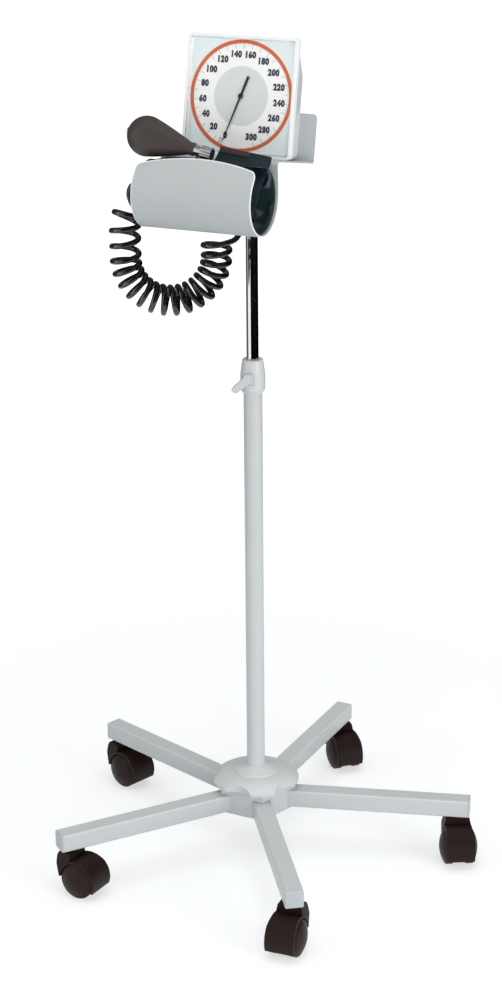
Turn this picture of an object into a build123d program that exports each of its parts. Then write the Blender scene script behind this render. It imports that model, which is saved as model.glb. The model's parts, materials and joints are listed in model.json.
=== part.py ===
from build123d import *
import os
from math import atan2, cos, degrees, pi, radians, sin, sqrt, tan

# Stand-mounted sphygmomanometer: a five-legged wheeled base, a two-part telescopic pole with a clamp,
# and a head with a square dial gauge, a sheet-metal cuff trough, a rolled cuff, a bulb and a curly hose.
# Millimetres, +Z up. The origin is on the floor at the pole's axis, and the dial faces -Y.

# Clearances
RUNNING_FIT = 0.05
SEAT_FIT = 0.02
BODY_GAP = 0.4
SPINDLE_FIT = 0.09
CUT_PAST = 1.0

# Legs
LEG_COUNT = 5
FIRST_LEG_ANGLE = -56.8
LEG_SIZE = 25.0
LEG_WALL = 1.5
LEG_CORNER = 2.5
LEG_UNDERSIDE = 64.0
LEG_INNER_RADIUS = 21.0
LEG_OUTER_RADIUS = 298.0
END_CAP_THICKNESS = 3.0
END_PLUG_LENGTH = 32.0
END_PLUG_CLEARANCE = 0.2

# Hub and its cover
HUB_APOTHEM = 45.0
HUB_BOTTOM = 60.0
HUB_TOP = 100.0
HUB_EDGE_CHAMFER = 1.5
POCKET_CLEARANCE = 0.1
COLUMN_SEAT = 72.0
BOLT_COUNTERBORE_RADIUS = 12.0
BOLT_COUNTERBORE_TOP = 67.0
BOLT_HOLE_CLEARANCE = 0.25
LEG_SCREW_CIRCLE = 34.0
LEG_SCREW_RADIUS = 3.0
LEG_SCREW_HEAD_RADIUS = 6.0
LEG_SCREW_HEAD_HEIGHT = 3.0
LEG_SCREW_TOP = 73.0
LEG_NUT_ACROSS_FLATS = 10.0
LEG_NUT_HEIGHT = 5.0
COVER_RIM_RADIUS = 60.0
COVER_NOTCH_RADIUS = 50.5
COVER_LOBE_HALF_ANGLE = 17.0
COVER_RIM_HEIGHT = 3.0
COVER_WALL = 2.4
COVER_RING_RADIUS = 31.0
COVER_RING_HEIGHT = 15.5
COVER_RING_STEP = 1.5
COVER_TOP_HEIGHT = 23.7
COVER_SLEEVE_WALL = 3.0
COVER_RIB_THICKNESS = 2.0
COVER_RIB_SETBACK = 3.0
COVER_SKIRT_LAP = 1.0
COVER_RING_DRAFT = 0.5
COVER_CROWN_OUT = 2.0
COVER_CROWN_SHARE = 0.68

# Telescopic pole
OUTER_TUBE_RADIUS = 12.5
OUTER_TUBE_WALL = 1.5
OUTER_TUBE_TOP = 706.0
PLUG_HEIGHT = 30.0
COLUMN_BOLT_RADIUS = 5.0
COLUMN_BOLT_HEAD_FLATS = 17.0
COLUMN_BOLT_HEAD_HEIGHT = 6.4
COLUMN_BOLT_LENGTH = 28.0
INNER_TUBE_RADIUS = 8.0
INNER_TUBE_WALL = 1.5
INNER_TUBE_BOTTOM = 338.0
INNER_TUBE_SETBACK = 1.9
GLIDE_LENGTH = 40.0
GLIDE_FLOOR = 4.0
BUSH_LENGTH = 30.0
BUSH_FLANGE = 2.0

# Height clamp
COLLAR_BOTTOM = 668.0
COLLAR_TOP = 714.0
COLLAR_RADIUS = 16.5
COLLAR_TOP_RADIUS = 13.8
COLLAR_FOOT_RADIUS = 13.6
COLLAR_FOOT_HEIGHT = 5.0
COLLAR_TAPER_START = 694.0
COLLAR_TOP_CHAMFER = 1.0
COLLAR_LIP_CLEARANCE = 0.5
CLAMP_HEIGHT = 692.0
CLAMP_AZIMUTH = 8.0
CLAMP_FLAT = 15.0
CLAMP_FLAT_WIDTH = 20.0
CLAMP_FLAT_HEIGHT = 21.0
CLAMP_NUT_RADIUS = 5.5
CLAMP_SCREW_RADIUS = 3.0
CLAMP_SCREW_HOLE = 4.0
LEVER_HUB_RADIUS = 6.5
LEVER_ARM_START = 17.2
LEVER_FACE = 24.0
LEVER_LENGTH = 28.5
LEVER_TIP_RADIUS = 5.0
LEVER_ANGLE = 221.0
LEVER_EDGE = 1.0
LEVER_NECK_SETBACK = 0.5
LEVER_SOCKET_DEPTH = 7.0

# Twin-wheel casters
CASTER_INSET = 15.0
TRAIL_ANGLES = [-88.0, -63.0, -48.0, -21.0, -8.0]
CASTER_TRAIL = 20.0
WHEEL_RADIUS = 25.0
WHEEL_INNER_FACE = 8.5
WHEEL_TREAD_EDGE = 18.5
WHEEL_OUTER_FACE = 26.5
WHEEL_TREAD_ROUND = 1.2
WHEEL_SHOULDER = 1.8
WHEEL_DISC_RADIUS = 21.5
WHEEL_DISC_DRAFT = 0.6
WHEEL_DISC_STEP = 1.0
AXLE_RADIUS = 3.0
AXLE_LENGTH = 39.0
AXLE_END_CLEARANCE = 0.7
HOOD_TOP = 62.0
HOOD_TOP_SLOPE = 5.0
HOOD_CROWN_ANGLE = 112.0
HOOD_OVER_ANGLE = 45.0
HOOD_WIDTH = 40.0
HOOD_NECK_WIDTH = 33.0
HOOD_SHOULDER_HEIGHT = 46.0
HOOD_RADIUS = 29.0
HOOD_CLEARANCE = 0.8
HOOD_BACK_ANGLE = -25.0
HOOD_FRONT = -11.5
HOOD_FRONT_FOOT = -8.5
HOOD_FRONT_FOOT_HEIGHT = 27.0
HOOD_NECK_REACH = 9.5
WEB_WIDTH = 16.0
WEB_HUB_RADIUS = 9.0
WEB_TOP_RADIUS = 28.0
WEB_BACK_ANGLE = 59.0
WEB_LOW_ANGLE = 233.0
WEB_EDGE = 1.0
STEM_RADIUS = 5.5
STEM_BOTTOM = 45.4
STEM_FLANGE_RADIUS = 8.0
STEM_FLANGE_THICKNESS = 1.6
STEM_TOP = 84.0
STEM_BORE_DEPTH = 17.0

# Head bracket and cuff trough: one bent sheet, leaning back by HEAD_TILT
HEAD_TILT = 11.5
HEAD_BACK = 16.3
HEAD_HEIGHT = 976.9
SHEET = 2.0
SHEET_WIDTH = 158.0
PLATE_HEIGHT = 60.0
PLATE_CORNER = 6.0
PLATE_BEND = 3.0
SHELF_BEND = 5.0
TROUGH_REACH = 139.5
TROUGH_DROP = 18.1
TROUGH_RADIUS = 44.1
TROUGH_WALL_LEAN = 2.3
TROUGH_FRONT_ANGLE = 38.0
LIP_LENGTH = 27.0
LIP_DROP = 9.5
LIP_CORNER = 8.0
SOCKET_RADIUS = 12.0
SOCKET_DEPTH = 36.9
SOCKET_FLANGE_WIDTH = 56.0
SOCKET_FLANGE_DEPTH = 34.0
SOCKET_FLANGE_START = 2.0
SOCKET_FLANGE_THICKNESS = 4.0
GUSSET_THICKNESS = 3.0
GUSSET_DROP = 16.0
GUSSET_EDGE = 3.0
GUSSET_SINK = 2.0
GUSSET_SETBACK = 2.0
GUSSET_ROOT = 1.0
SOCKET_FLANGE_CORNER = 3.0
PLATE_SCREW_RADIUS = 2.5
PLATE_SCREW_LENGTH = 4.5
PLATE_SCREW_HEAD_RADIUS = 4.5
PLATE_SCREW_HEAD_HEIGHT = 2.6
PLATE_SCREW_SLOT = 1.2
PLATE_SCREW_SPREAD = 38.0
PLATE_SCREW_ROWS = [18.0, 44.0]

# Gauge
GAUGE_SIZE = 150.0
GAUGE_CORNER = 7.0
GAUGE_FACE = 68.0
FRAME_DEPTH = 8.0
FRAME_RIM = 4.0
FRAME_EDGE = 1.0
LENS_THICKNESS = 2.0
LENS_RECESS = 0.5
LENS_LEDGE = 1.5
DIAL_THICKNESS = 1.5
DIAL_HOLE_RADIUS = 2.5
HOUSING_FRONT_SIZE = 146.0
HOUSING_BACK_SIZE = 112.0
HOUSING_WALL = 3.0
HOUSING_CORNER = 9.0

# Pointer
POINTER_REST_ANGLE = 250.0
POINTER_SWEEP = 320.0
POINTER_LENGTH = 59.0
POINTER_TAIL = 26.0
POINTER_TAIL_WIDTH = 3.4
POINTER_ROOT_WIDTH = 2.6
POINTER_TIP_WIDTH = 0.8
POINTER_THICKNESS = 0.8
POINTER_DISTANCE = 1.2
POINTER_BOSS_RADIUS = 3.2
ARBOR_RADIUS = 1.0

# Movement: a capsule lifts a pin, the pin swings a toothed sector, the sector turns the arbor's pinion
GEAR_MODULE = 0.4
PINION_TEETH = 12
SECTOR_FULL_TEETH = 120
SECTOR_TEETH = 15
SECTOR_LEAD_TEETH = 1
TOOTH_ADDENDUM = 0.34
TOOTH_DEDENDUM = 0.52
TOOTH_FILL = 0.4
TOOTH_SLOPE = 0.288
TOOTH_ROOT_LAP = 0.5
SECTOR_SWING = 32.0
SECTOR_THICKNESS = 3.0
PINION_THICKNESS = 4.0
SECTOR_PLANE = 45.5
SECTOR_RIM = 3.5
SECTOR_SPOKE = 2.4
SECTOR_HUB_RADIUS = 3.4
SECTOR_SHAFT_RADIUS = 1.5
SECTOR_ARM = 7.0
SECTOR_ARM_WIDTH = 2.0
SECTOR_ROLLER_RADIUS = 1.2
MOVEMENT_PLATE = 3.0
MOVEMENT_BACK = 36.0
MOVEMENT_FRONT = 51.0
MOVEMENT_WIDTH = 26.0
MOVEMENT_BOTTOM = 30.0
MOVEMENT_TOP = 86.0
PILLAR_RADIUS = 2.0
PILLAR_INSET = 4.0
PEDESTAL_RADIUS = 7.0
PEDESTAL_FOOT_RADIUS = 14.0
PEDESTAL_FOOT = 2.5
PEDESTAL_HEIGHT = 62.0
PIN_RADIUS = 1.2
PIN_GUIDE_BOTTOM = 33.0
PIN_GUIDE_TOP = 38.0
PIN_GUIDE_WIDTH = 6.0
CAPSULE_RADIUS = 14.0
CAPSULE_TOP = 26.0
CAPSULE_HALF_HEIGHT = 5.5
CAPSULE_WAVE = 1.2
CAPSULE_RINGS = 5
CAPSULE_FALL = 3.0
CAPSULE_SEAM = 0.5
CAPSULE_BOSS_RADIUS = 4.0
CAPSULE_STUD_RADIUS = 5.5
NIPPLE_SHANK_RADIUS = 4.0
NIPPLE_FLANGE_RADIUS = 6.5
NIPPLE_FLANGE = 4.0
NIPPLE_SLEEVE_RADIUS = 4.5
NIPPLE_SLEEVE = 10.0
NIPPLE_TOP = 6.0

# Cuff, bulb and valve
CUFF_INNER_RADIUS = 31.0
CUFF_LEFT = -76.0
CUFF_RIGHT = 77.0
FLAP_LEFT = 6.5
FLAP_THICKNESS = 3.0
FLAP_FOOT = (-20.5, 25.2)
FLAP_HEAD = (-30.0, 61.2)
FLAP_LEFT_RISE = 56.7
FLAP_RIGHT_RISE = 47.7
BULB_RADIUS = 25.0
BULB_SETBACK = 4.5
BULB_ACROSS = -79.0
BULB_DROOP = 10.7
BULB_NECK_START = 58.0
BULB_LENGTH = 66.0
BULB_NECK_RADIUS = 8.0
BULB_NECK_END_RADIUS = 7.2
BULB_SHOULDER_ANGLE = 76.0
END_VALVE_RADIUS = 4.5
END_VALVE_DEPTH = 6.0
END_VALVE_STAND = 2.0
VALVE_SHANK_RADIUS = 5.0
VALVE_SHANK = 8.0
VALVE_BODY_RADIUS = 6.6
VALVE_BODY_LENGTH = 8.5
VALVE_OUTLET_RADIUS = 3.2
VALVE_OUTLET_STEP = 3.7
RELEASE_WHEEL_RADIUS = 8.0
RELEASE_WHEEL_LENGTH = 14.0
RELEASE_WHEEL_FLUTES = 18
RELEASE_FLUTE_DEPTH = 0.5
RELEASE_SPINDLE_RADIUS = 2.0
RELEASE_SPINDLE = 6.0

# Curly hose: curls wound on a hanging U whose left leg leans in at its top, with a free end at each side
HOSE_DIAMETER = 7.5
HOSE_SIDES = 6
CURL_RADIUS = 16.8
CURL_START_ANGLE = -54.0
CURL_STEPS = 4
U_CENTRE = (-72.0, -89.5)
U_DROP = 111.4
U_HEADING = -30.6
U_RADIUS = 57.8
U_LEAN_RADIUS = 51.7
U_LEAN_LENGTH = 30.7
U_LEFT_RISE = 35.4
U_RIGHT_RISE = 17.0
CURLS_LEAN = 1.65
CURLS_LEFT = 1.76
CURLS_BEND = 13.77
CURLS_RIGHT = 1.3
CUFF_LEAD = 10.2
LEFT_ROUTE = [(-117.9, -98.4), (-127.4, -95.7)]
LEFT_ROUTE_DROPS = [18.9, 31.4]
LEFT_LEAD = 12.2
RIGHT_LEAD = 24.0
NIPPLE_LEAD = 14.0
RIGHT_BEND = (5.0, -42.5)
RIGHT_BEND_DROP = 62.0
BEND_SHARE = 0.45
GAP_STEP = 2.0


def polar(radius, angle, height=0.0):
    return (radius * cos(radians(angle)), radius * sin(radians(angle)), height)


def rod(radius, bottom, top):
    return Pos(0, 0, (bottom + top) / 2) * Cylinder(radius, top - bottom)


def pipe(outer, inner, bottom, top):
    return rod(outer, bottom, top) - rod(inner, bottom, top)


def hexagon_bar(across_flats, bottom, top):
    corner_radius = across_flats / 2 / cos(radians(30))
    return Pos(0, 0, bottom) * extrude(RegularPolygon(corner_radius, 6), top - bottom)


def turned(outline):
    return revolve(Plane.XZ * outline, Axis.Z)


def rounded_bar(size_x, size_y, corner, bottom, top):
    return Pos(0, 0, bottom) * extrude(RectangleRounded(size_x, size_y, corner), top - bottom)


def unit(vector):
    return vector * (1 / vector.length)


def save(name, shape):
    shape.label = name
    export_step(shape, "parts/" + name + ".step")


# Derived sizes of the base
leg_angles = [FIRST_LEG_ANGLE + 360 / LEG_COUNT * index for index in range(LEG_COUNT)]
leg_middle = LEG_UNDERSIDE + LEG_SIZE / 2
caster_circle = LEG_OUTER_RADIUS - CASTER_INSET
leg_bore = LEG_SIZE - 2 * LEG_WALL
column_bore_radius = OUTER_TUBE_RADIUS + RUNNING_FIT
outer_tube_bore = OUTER_TUBE_RADIUS - OUTER_TUBE_WALL
stem_hole_radius = STEM_RADIUS + 2 * RUNNING_FIT
leg_screw_hole_radius = LEG_SCREW_RADIUS + 2 * RUNNING_FIT


# Base hub: a five-sided block with a pocket for each leg and a bore for the column
def base_hub():
    corner_radius = HUB_APOTHEM / cos(pi / LEG_COUNT)
    outline = RegularPolygon(corner_radius, LEG_COUNT, rotation=FIRST_LEG_ANGLE)
    block = Pos(0, 0, HUB_BOTTOM) * extrude(outline, HUB_TOP - HUB_BOTTOM)
    block = chamfer(block.faces().sort_by(Axis.Z)[0].edges(), HUB_EDGE_CHAMFER)
    block -= rod(column_bore_radius, COLUMN_SEAT, HUB_TOP)
    block -= rod(BOLT_COUNTERBORE_RADIUS, HUB_BOTTOM, BOLT_COUNTERBORE_TOP)
    block -= rod(COLUMN_BOLT_RADIUS + BOLT_HOLE_CLEARANCE, BOLT_COUNTERBORE_TOP, COLUMN_SEAT)
    pocket_width = LEG_SIZE + 2 * POCKET_CLEARANCE
    pocket_height = LEG_SIZE + POCKET_CLEARANCE
    pocket = Box(corner_radius, pocket_width, pocket_height, align=(Align.MIN, Align.CENTER, Align.MIN))
    for angle in leg_angles:
        block -= Rot(0, 0, angle) * Pos(LEG_INNER_RADIUS, 0, LEG_UNDERSIDE) * pocket
        hole = rod(leg_screw_hole_radius, HUB_BOTTOM, LEG_UNDERSIDE)
        sink = leg_screw_sink(RUNNING_FIT)
        block -= Pos(*polar(LEG_SCREW_CIRCLE, angle)) * (hole + sink)
    return block


def leg_screw_sink(extra):
    head = LEG_SCREW_HEAD_RADIUS + extra
    cone = Cone(head, LEG_SCREW_RADIUS + extra, LEG_SCREW_HEAD_HEIGHT)
    return Pos(0, 0, HUB_BOTTOM + LEG_SCREW_HEAD_HEIGHT / 2) * cone


# Hub cover: a shallow dome with a lobe over each leg and a notch between, standing on a sleeve and ribs
def scallop(lobe_radius, notch_radius):
    pitch = 360 / LEG_COUNT
    arcs = []
    for angle in leg_angles:
        lobe_start = polar(lobe_radius, angle - COVER_LOBE_HALF_ANGLE)
        lobe_end = polar(lobe_radius, angle + COVER_LOBE_HALF_ANGLE)
        next_start = polar(lobe_radius, angle + pitch - COVER_LOBE_HALF_ANGLE)
        arcs.append(ThreePointArc(lobe_start, polar(lobe_radius, angle), lobe_end))
        arcs.append(ThreePointArc(lobe_end, polar(notch_radius, angle + pitch / 2), next_start))
    return make_face(Wire(arcs))


def dome(drop, inner_radius):
    edge = COVER_RIM_RADIUS + COVER_SKIRT_LAP
    low = HUB_TOP + COVER_RIM_HEIGHT - drop
    ring_low = HUB_TOP + COVER_RING_HEIGHT - drop
    middle_radius = (edge + COVER_RING_RADIUS) / 2 + COVER_CROWN_OUT
    middle = low + COVER_CROWN_SHARE * (ring_low - low)
    sweep_up = ThreePointArc((edge, low), (middle_radius, middle), (COVER_RING_RADIUS, ring_low))
    sides = Polyline(
        (COVER_RING_RADIUS, ring_low),
        (COVER_RING_RADIUS - COVER_RING_DRAFT, ring_low + COVER_RING_STEP),
        (inner_radius, HUB_TOP + COVER_TOP_HEIGHT - drop),
        (inner_radius, HUB_TOP),
        (edge, HUB_TOP),
        (edge, low),
    )
    return turned(make_face(sweep_up + sides))


def hub_cover():
    height = COVER_TOP_HEIGHT + COVER_SKIRT_LAP
    bore = OUTER_TUBE_RADIUS + RUNNING_FIT
    sleeve = bore + COVER_SLEEVE_WALL
    outside = Pos(0, 0, HUB_TOP) * extrude(scallop(COVER_RIM_RADIUS, COVER_NOTCH_RADIUS), height)
    inner_outline = scallop(COVER_RIM_RADIUS - COVER_WALL, COVER_NOTCH_RADIUS - COVER_WALL)
    inside = Pos(0, 0, HUB_TOP) * extrude(inner_outline, height)
    hollow = dome(COVER_WALL, sleeve) & inside
    rib_length = COVER_NOTCH_RADIUS - COVER_RIB_SETBACK
    rib = Box(rib_length, COVER_RIB_THICKNESS, 2 * height, align=(Align.MIN, Align.CENTER, Align.CENTER))
    for angle in leg_angles:
        hollow -= Pos(0, 0, HUB_TOP) * Rot(0, 0, angle + 180 / LEG_COUNT) * rib
    return (dome(0, bore) & outside) - hollow


# Legs: square tubes, with a hole for the hub screw and one for the caster stem
def leg(angle):
    section = RectangleRounded(LEG_SIZE, LEG_SIZE, LEG_CORNER)
    section -= RectangleRounded(leg_bore, leg_bore, LEG_CORNER - LEG_WALL)
    tube = extrude(Plane.YZ * section, LEG_OUTER_RADIUS - LEG_INNER_RADIUS)
    tube = Pos(LEG_INNER_RADIUS, 0, leg_middle) * tube
    wall_top = LEG_UNDERSIDE + 2 * LEG_WALL
    tube -= Pos(LEG_SCREW_CIRCLE, 0, 0) * rod(leg_screw_hole_radius, LEG_UNDERSIDE, wall_top)
    tube -= Pos(caster_circle, 0, 0) * rod(stem_hole_radius, LEG_UNDERSIDE, wall_top)
    return Rot(0, 0, angle) * tube


def leg_end_cap(angle):
    plate = extrude(Plane.YZ * RectangleRounded(LEG_SIZE, LEG_SIZE, LEG_CORNER), END_CAP_THICKNESS)
    plate = chamfer(plate.faces().sort_by(Axis.X)[-1].edges(), END_CAP_THICKNESS / 3)
    side = leg_bore - 2 * END_PLUG_CLEARANCE
    plug_outline = RectangleRounded(side, side, LEG_CORNER - LEG_WALL)
    plug = extrude(Plane.YZ * plug_outline, -END_PLUG_LENGTH)
    cap = Pos(LEG_OUTER_RADIUS, 0, leg_middle) * (plate + plug)
    cap -= Pos(caster_circle, 0, 0) * rod(STEM_RADIUS + SEAT_FIT, LEG_UNDERSIDE, STEM_TOP)
    return Rot(0, 0, angle) * cap


def leg_screw_set(angle):
    screw = leg_screw_sink(0) + rod(LEG_SCREW_RADIUS, HUB_BOTTOM, LEG_SCREW_TOP)
    nut_seat = LEG_UNDERSIDE + LEG_WALL
    nut = hexagon_bar(LEG_NUT_ACROSS_FLATS, nut_seat, nut_seat + LEG_NUT_HEIGHT)
    nut -= rod(LEG_SCREW_RADIUS + SEAT_FIT, nut_seat, LEG_SCREW_TOP)
    place = Pos(*polar(LEG_SCREW_CIRCLE, angle))
    return [place * screw, place * Rot(0, 0, angle) * nut]


# Column: outer tube on the hub's seat, held down by a plug and a bolt
clamp_frame = Plane(
    origin=(0, 0, CLAMP_HEIGHT),
    x_dir=(cos(radians(CLAMP_AZIMUTH)), sin(radians(CLAMP_AZIMUTH)), 0),
    z_dir=(sin(radians(CLAMP_AZIMUTH)), -cos(radians(CLAMP_AZIMUTH)), 0),
)
collar_bore = OUTER_TUBE_RADIUS + RUNNING_FIT
lip_bore = INNER_TUBE_RADIUS + COLLAR_LIP_CLEARANCE


def outer_tube():
    tube = pipe(OUTER_TUBE_RADIUS, outer_tube_bore, COLUMN_SEAT, OUTER_TUBE_TOP)
    return tube - clamp_frame * rod(CLAMP_SCREW_HOLE, 0, COLLAR_RADIUS)


def column_plug():
    plug = rod(outer_tube_bore - SEAT_FIT, COLUMN_SEAT, COLUMN_SEAT + PLUG_HEIGHT)
    thread_top = BOLT_COUNTERBORE_TOP + COLUMN_BOLT_LENGTH + CUT_PAST
    return plug - rod(COLUMN_BOLT_RADIUS + SEAT_FIT, COLUMN_SEAT, thread_top)


def column_bolt():
    head_bottom = BOLT_COUNTERBORE_TOP - COLUMN_BOLT_HEAD_HEIGHT
    tip = BOLT_COUNTERBORE_TOP + COLUMN_BOLT_LENGTH
    head = hexagon_bar(COLUMN_BOLT_HEAD_FLATS, head_bottom, BOLT_COUNTERBORE_TOP)
    return head + rod(COLUMN_BOLT_RADIUS, BOLT_COUNTERBORE_TOP, tip)


def guide_bush():
    bore = INNER_TUBE_RADIUS + RUNNING_FIT
    bush = pipe(outer_tube_bore - SEAT_FIT, bore, OUTER_TUBE_TOP - BUSH_LENGTH, OUTER_TUBE_TOP)
    bush += pipe(OUTER_TUBE_RADIUS, bore, OUTER_TUBE_TOP, OUTER_TUBE_TOP + BUSH_FLANGE)
    return bush - clamp_frame * rod(CLAMP_SCREW_HOLE, 0, COLLAR_RADIUS)


# Clamp collar: a tapered plastic sleeve with a flat for the lever
def clamp_collar():
    lip_bottom = OUTER_TUBE_TOP + BUSH_FLANGE
    outline = Polyline(
        (collar_bore, COLLAR_BOTTOM),
        (COLLAR_FOOT_RADIUS, COLLAR_BOTTOM),
        (COLLAR_RADIUS, COLLAR_BOTTOM + COLLAR_FOOT_HEIGHT),
        (COLLAR_RADIUS, COLLAR_TAPER_START),
        (COLLAR_TOP_RADIUS, COLLAR_TOP - COLLAR_TOP_CHAMFER),
        (COLLAR_TOP_RADIUS - COLLAR_TOP_CHAMFER, COLLAR_TOP),
        (lip_bore, COLLAR_TOP),
        (lip_bore, lip_bottom),
        (collar_bore, lip_bottom),
        close=True,
    )
    collar = turned(make_face(outline))
    outward = (Align.CENTER, Align.CENTER, Align.MIN)
    flat = Box(CLAMP_FLAT_WIDTH, CLAMP_FLAT_HEIGHT, COLLAR_RADIUS, align=outward)
    collar -= clamp_frame * Pos(0, 0, CLAMP_FLAT) * flat
    return collar - clamp_frame * rod(CLAMP_NUT_RADIUS + SEAT_FIT, 0, COLLAR_RADIUS)


def clamp_nut():
    thread = CLAMP_SCREW_RADIUS + RUNNING_FIT
    return clamp_frame * pipe(CLAMP_NUT_RADIUS, thread, collar_bore + RUNNING_FIT, CLAMP_FLAT)


def clamp_screw():
    tip = INNER_TUBE_RADIUS + BODY_GAP
    return clamp_frame * rod(CLAMP_SCREW_RADIUS, tip, LEVER_FACE - LEVER_SOCKET_DEPTH / 2)


def clamp_lever():
    hub = rod(LEVER_HUB_RADIUS, CLAMP_FLAT + BODY_GAP, LEVER_FACE)
    tip_centre = polar(LEVER_LENGTH - LEVER_TIP_RADIUS, LEVER_ANGLE)
    root = Circle(LEVER_HUB_RADIUS - LEVER_NECK_SETBACK)
    outline = make_hull((root + Pos(*tip_centre) * Circle(LEVER_TIP_RADIUS)).edges())
    arm = Pos(0, 0, LEVER_ARM_START) * extrude(outline, LEVER_FACE - LEVER_ARM_START)
    arm = chamfer(arm.faces().sort_by(Axis.Z)[-1].edges(), LEVER_EDGE)
    bore = rod(CLAMP_SCREW_RADIUS + SEAT_FIT, 0, LEVER_FACE - LEVER_SOCKET_DEPTH / 2)
    return clamp_frame * (hub + arm - bore)


# Inner tube in its glide at the foot, which slides in the outer tube
def mast_glide():
    bottom = INNER_TUBE_BOTTOM - GLIDE_FLOOR - BODY_GAP
    glide = rod(outer_tube_bore - RUNNING_FIT, bottom, bottom + GLIDE_LENGTH)
    return glide - rod(INNER_TUBE_RADIUS + RUNNING_FIT, bottom + GLIDE_FLOOR, bottom + GLIDE_LENGTH)


def inner_tube():
    top = HEAD_HEIGHT - INNER_TUBE_SETBACK
    return pipe(INNER_TUBE_RADIUS, INNER_TUBE_RADIUS - INNER_TUBE_WALL, INNER_TUBE_BOTTOM, top)


# Casters, each built round its swivel axis with the trail along +X, then placed under a leg's end
def round_wheel(radius, angle):
    across, up = polar(radius, angle)[:2]
    return (CASTER_TRAIL + across, WHEEL_RADIUS + up)


def hood_outline():
    wheel = (CASTER_TRAIL, WHEEL_RADIUS)
    back = round_wheel(HOOD_RADIUS, HOOD_BACK_ANGLE)
    crown = round_wheel(HOOD_RADIUS, HOOD_CROWN_ANGLE)
    over = round_wheel(HOOD_RADIUS, HOOD_OVER_ANGLE)
    arc = ThreePointArc(back, over, crown)
    sides = Polyline(
        crown,
        (HOOD_NECK_REACH, HOOD_TOP),
        (-HOOD_NECK_REACH, HOOD_TOP),
        (HOOD_FRONT, HOOD_TOP - HOOD_TOP_SLOPE),
        (HOOD_FRONT, HOOD_SHOULDER_HEIGHT),
        (HOOD_FRONT_FOOT, HOOD_FRONT_FOOT_HEIGHT),
        wheel,
        back,
    )
    return make_face(arc + sides)


def caster_hood():
    shell = extrude(Plane.XZ * hood_outline(), HOOD_WIDTH / 2, both=True)
    half_neck = HOOD_NECK_WIDTH / 2
    half_width = HOOD_WIDTH / 2
    front_view = Polygon(
        (half_width, 0),
        (half_width, HOOD_SHOULDER_HEIGHT),
        (half_neck, HOOD_TOP),
        (-half_neck, HOOD_TOP),
        (-half_width, HOOD_SHOULDER_HEIGHT),
        (-half_width, 0),
        align=None,
    )
    shell = shell & extrude(Plane.YZ * front_view, 3 * HOOD_RADIUS, both=True)
    wheel_space = Cylinder(WHEEL_RADIUS + HOOD_CLEARANCE, HOOD_WIDTH + 2 * CUT_PAST)
    shell -= Pos(CASTER_TRAIL, 0, WHEEL_RADIUS) * Rot(90, 0, 0) * wheel_space
    web_outline = Polygon(
        (HOOD_FRONT_FOOT - WEB_EDGE, HOOD_FRONT_FOOT_HEIGHT + WEB_EDGE),
        round_wheel(WEB_HUB_RADIUS, WEB_LOW_ANGLE),
        round_wheel(WEB_HUB_RADIUS, 0),
        round_wheel(WEB_TOP_RADIUS, WEB_BACK_ANGLE),
        round_wheel(WEB_TOP_RADIUS, HOOD_CROWN_ANGLE),
        (0, HOOD_TOP - 2 * WEB_EDGE),
        (HOOD_FRONT + WEB_EDGE, HOOD_SHOULDER_HEIGHT),
        align=None,
    )
    web_outline += Pos(CASTER_TRAIL, WHEEL_RADIUS) * Circle(WEB_HUB_RADIUS)
    hood = shell + extrude(Plane.XZ * web_outline, WEB_WIDTH / 2, both=True)
    axle_hole = Cylinder(AXLE_RADIUS + SEAT_FIT, HOOD_WIDTH)
    hood -= Pos(CASTER_TRAIL, 0, WHEEL_RADIUS) * Rot(90, 0, 0) * axle_hole
    return hood - rod(STEM_RADIUS + RUNNING_FIT, HOOD_TOP - STEM_BORE_DEPTH, HOOD_TOP)


def caster_axle():
    return Pos(CASTER_TRAIL, 0, WHEEL_RADIUS) * Rot(90, 0, 0) * Cylinder(AXLE_RADIUS, AXLE_LENGTH)


def caster_wheel(side):
    bore = AXLE_RADIUS + RUNNING_FIT
    bore_end = AXLE_LENGTH / 2 + AXLE_END_CLEARANCE
    shoulder = WHEEL_TREAD_EDGE + WHEEL_SHOULDER
    rim = (WHEEL_DISC_RADIUS - WHEEL_DISC_DRAFT, shoulder + WHEEL_DISC_STEP)
    shape = Polyline(
        (0, WHEEL_OUTER_FACE),
        (0, bore_end),
        (bore, bore_end),
        (bore, WHEEL_INNER_FACE),
        (WHEEL_RADIUS - WHEEL_TREAD_ROUND, WHEEL_INNER_FACE),
        (WHEEL_RADIUS, WHEEL_INNER_FACE + WHEEL_TREAD_ROUND),
        (WHEEL_RADIUS, WHEEL_TREAD_EDGE),
        (WHEEL_RADIUS - WHEEL_SHOULDER, shoulder),
        (WHEEL_DISC_RADIUS, shoulder),
        rim,
    )
    half_rim = rim[0] / 2
    rise = WHEEL_OUTER_FACE - rim[1]
    dome_radius = (rim[0] ** 2 + rise ** 2) / (2 * rise)
    half_fall = dome_radius - sqrt(dome_radius ** 2 - half_rim ** 2)
    face = ThreePointArc(rim, (half_rim, WHEEL_OUTER_FACE - half_fall), (0, WHEEL_OUTER_FACE))
    wheel = turned(make_face(shape + face))
    return Pos(CASTER_TRAIL, 0, WHEEL_RADIUS) * Rot(-90 * side, 0, 0) * wheel


def caster_stem():
    flange_bottom = LEG_UNDERSIDE - STEM_FLANGE_THICKNESS
    stem = rod(STEM_RADIUS, STEM_BOTTOM, STEM_TOP)
    return stem + rod(STEM_FLANGE_RADIUS, flange_bottom, LEG_UNDERSIDE)


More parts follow.
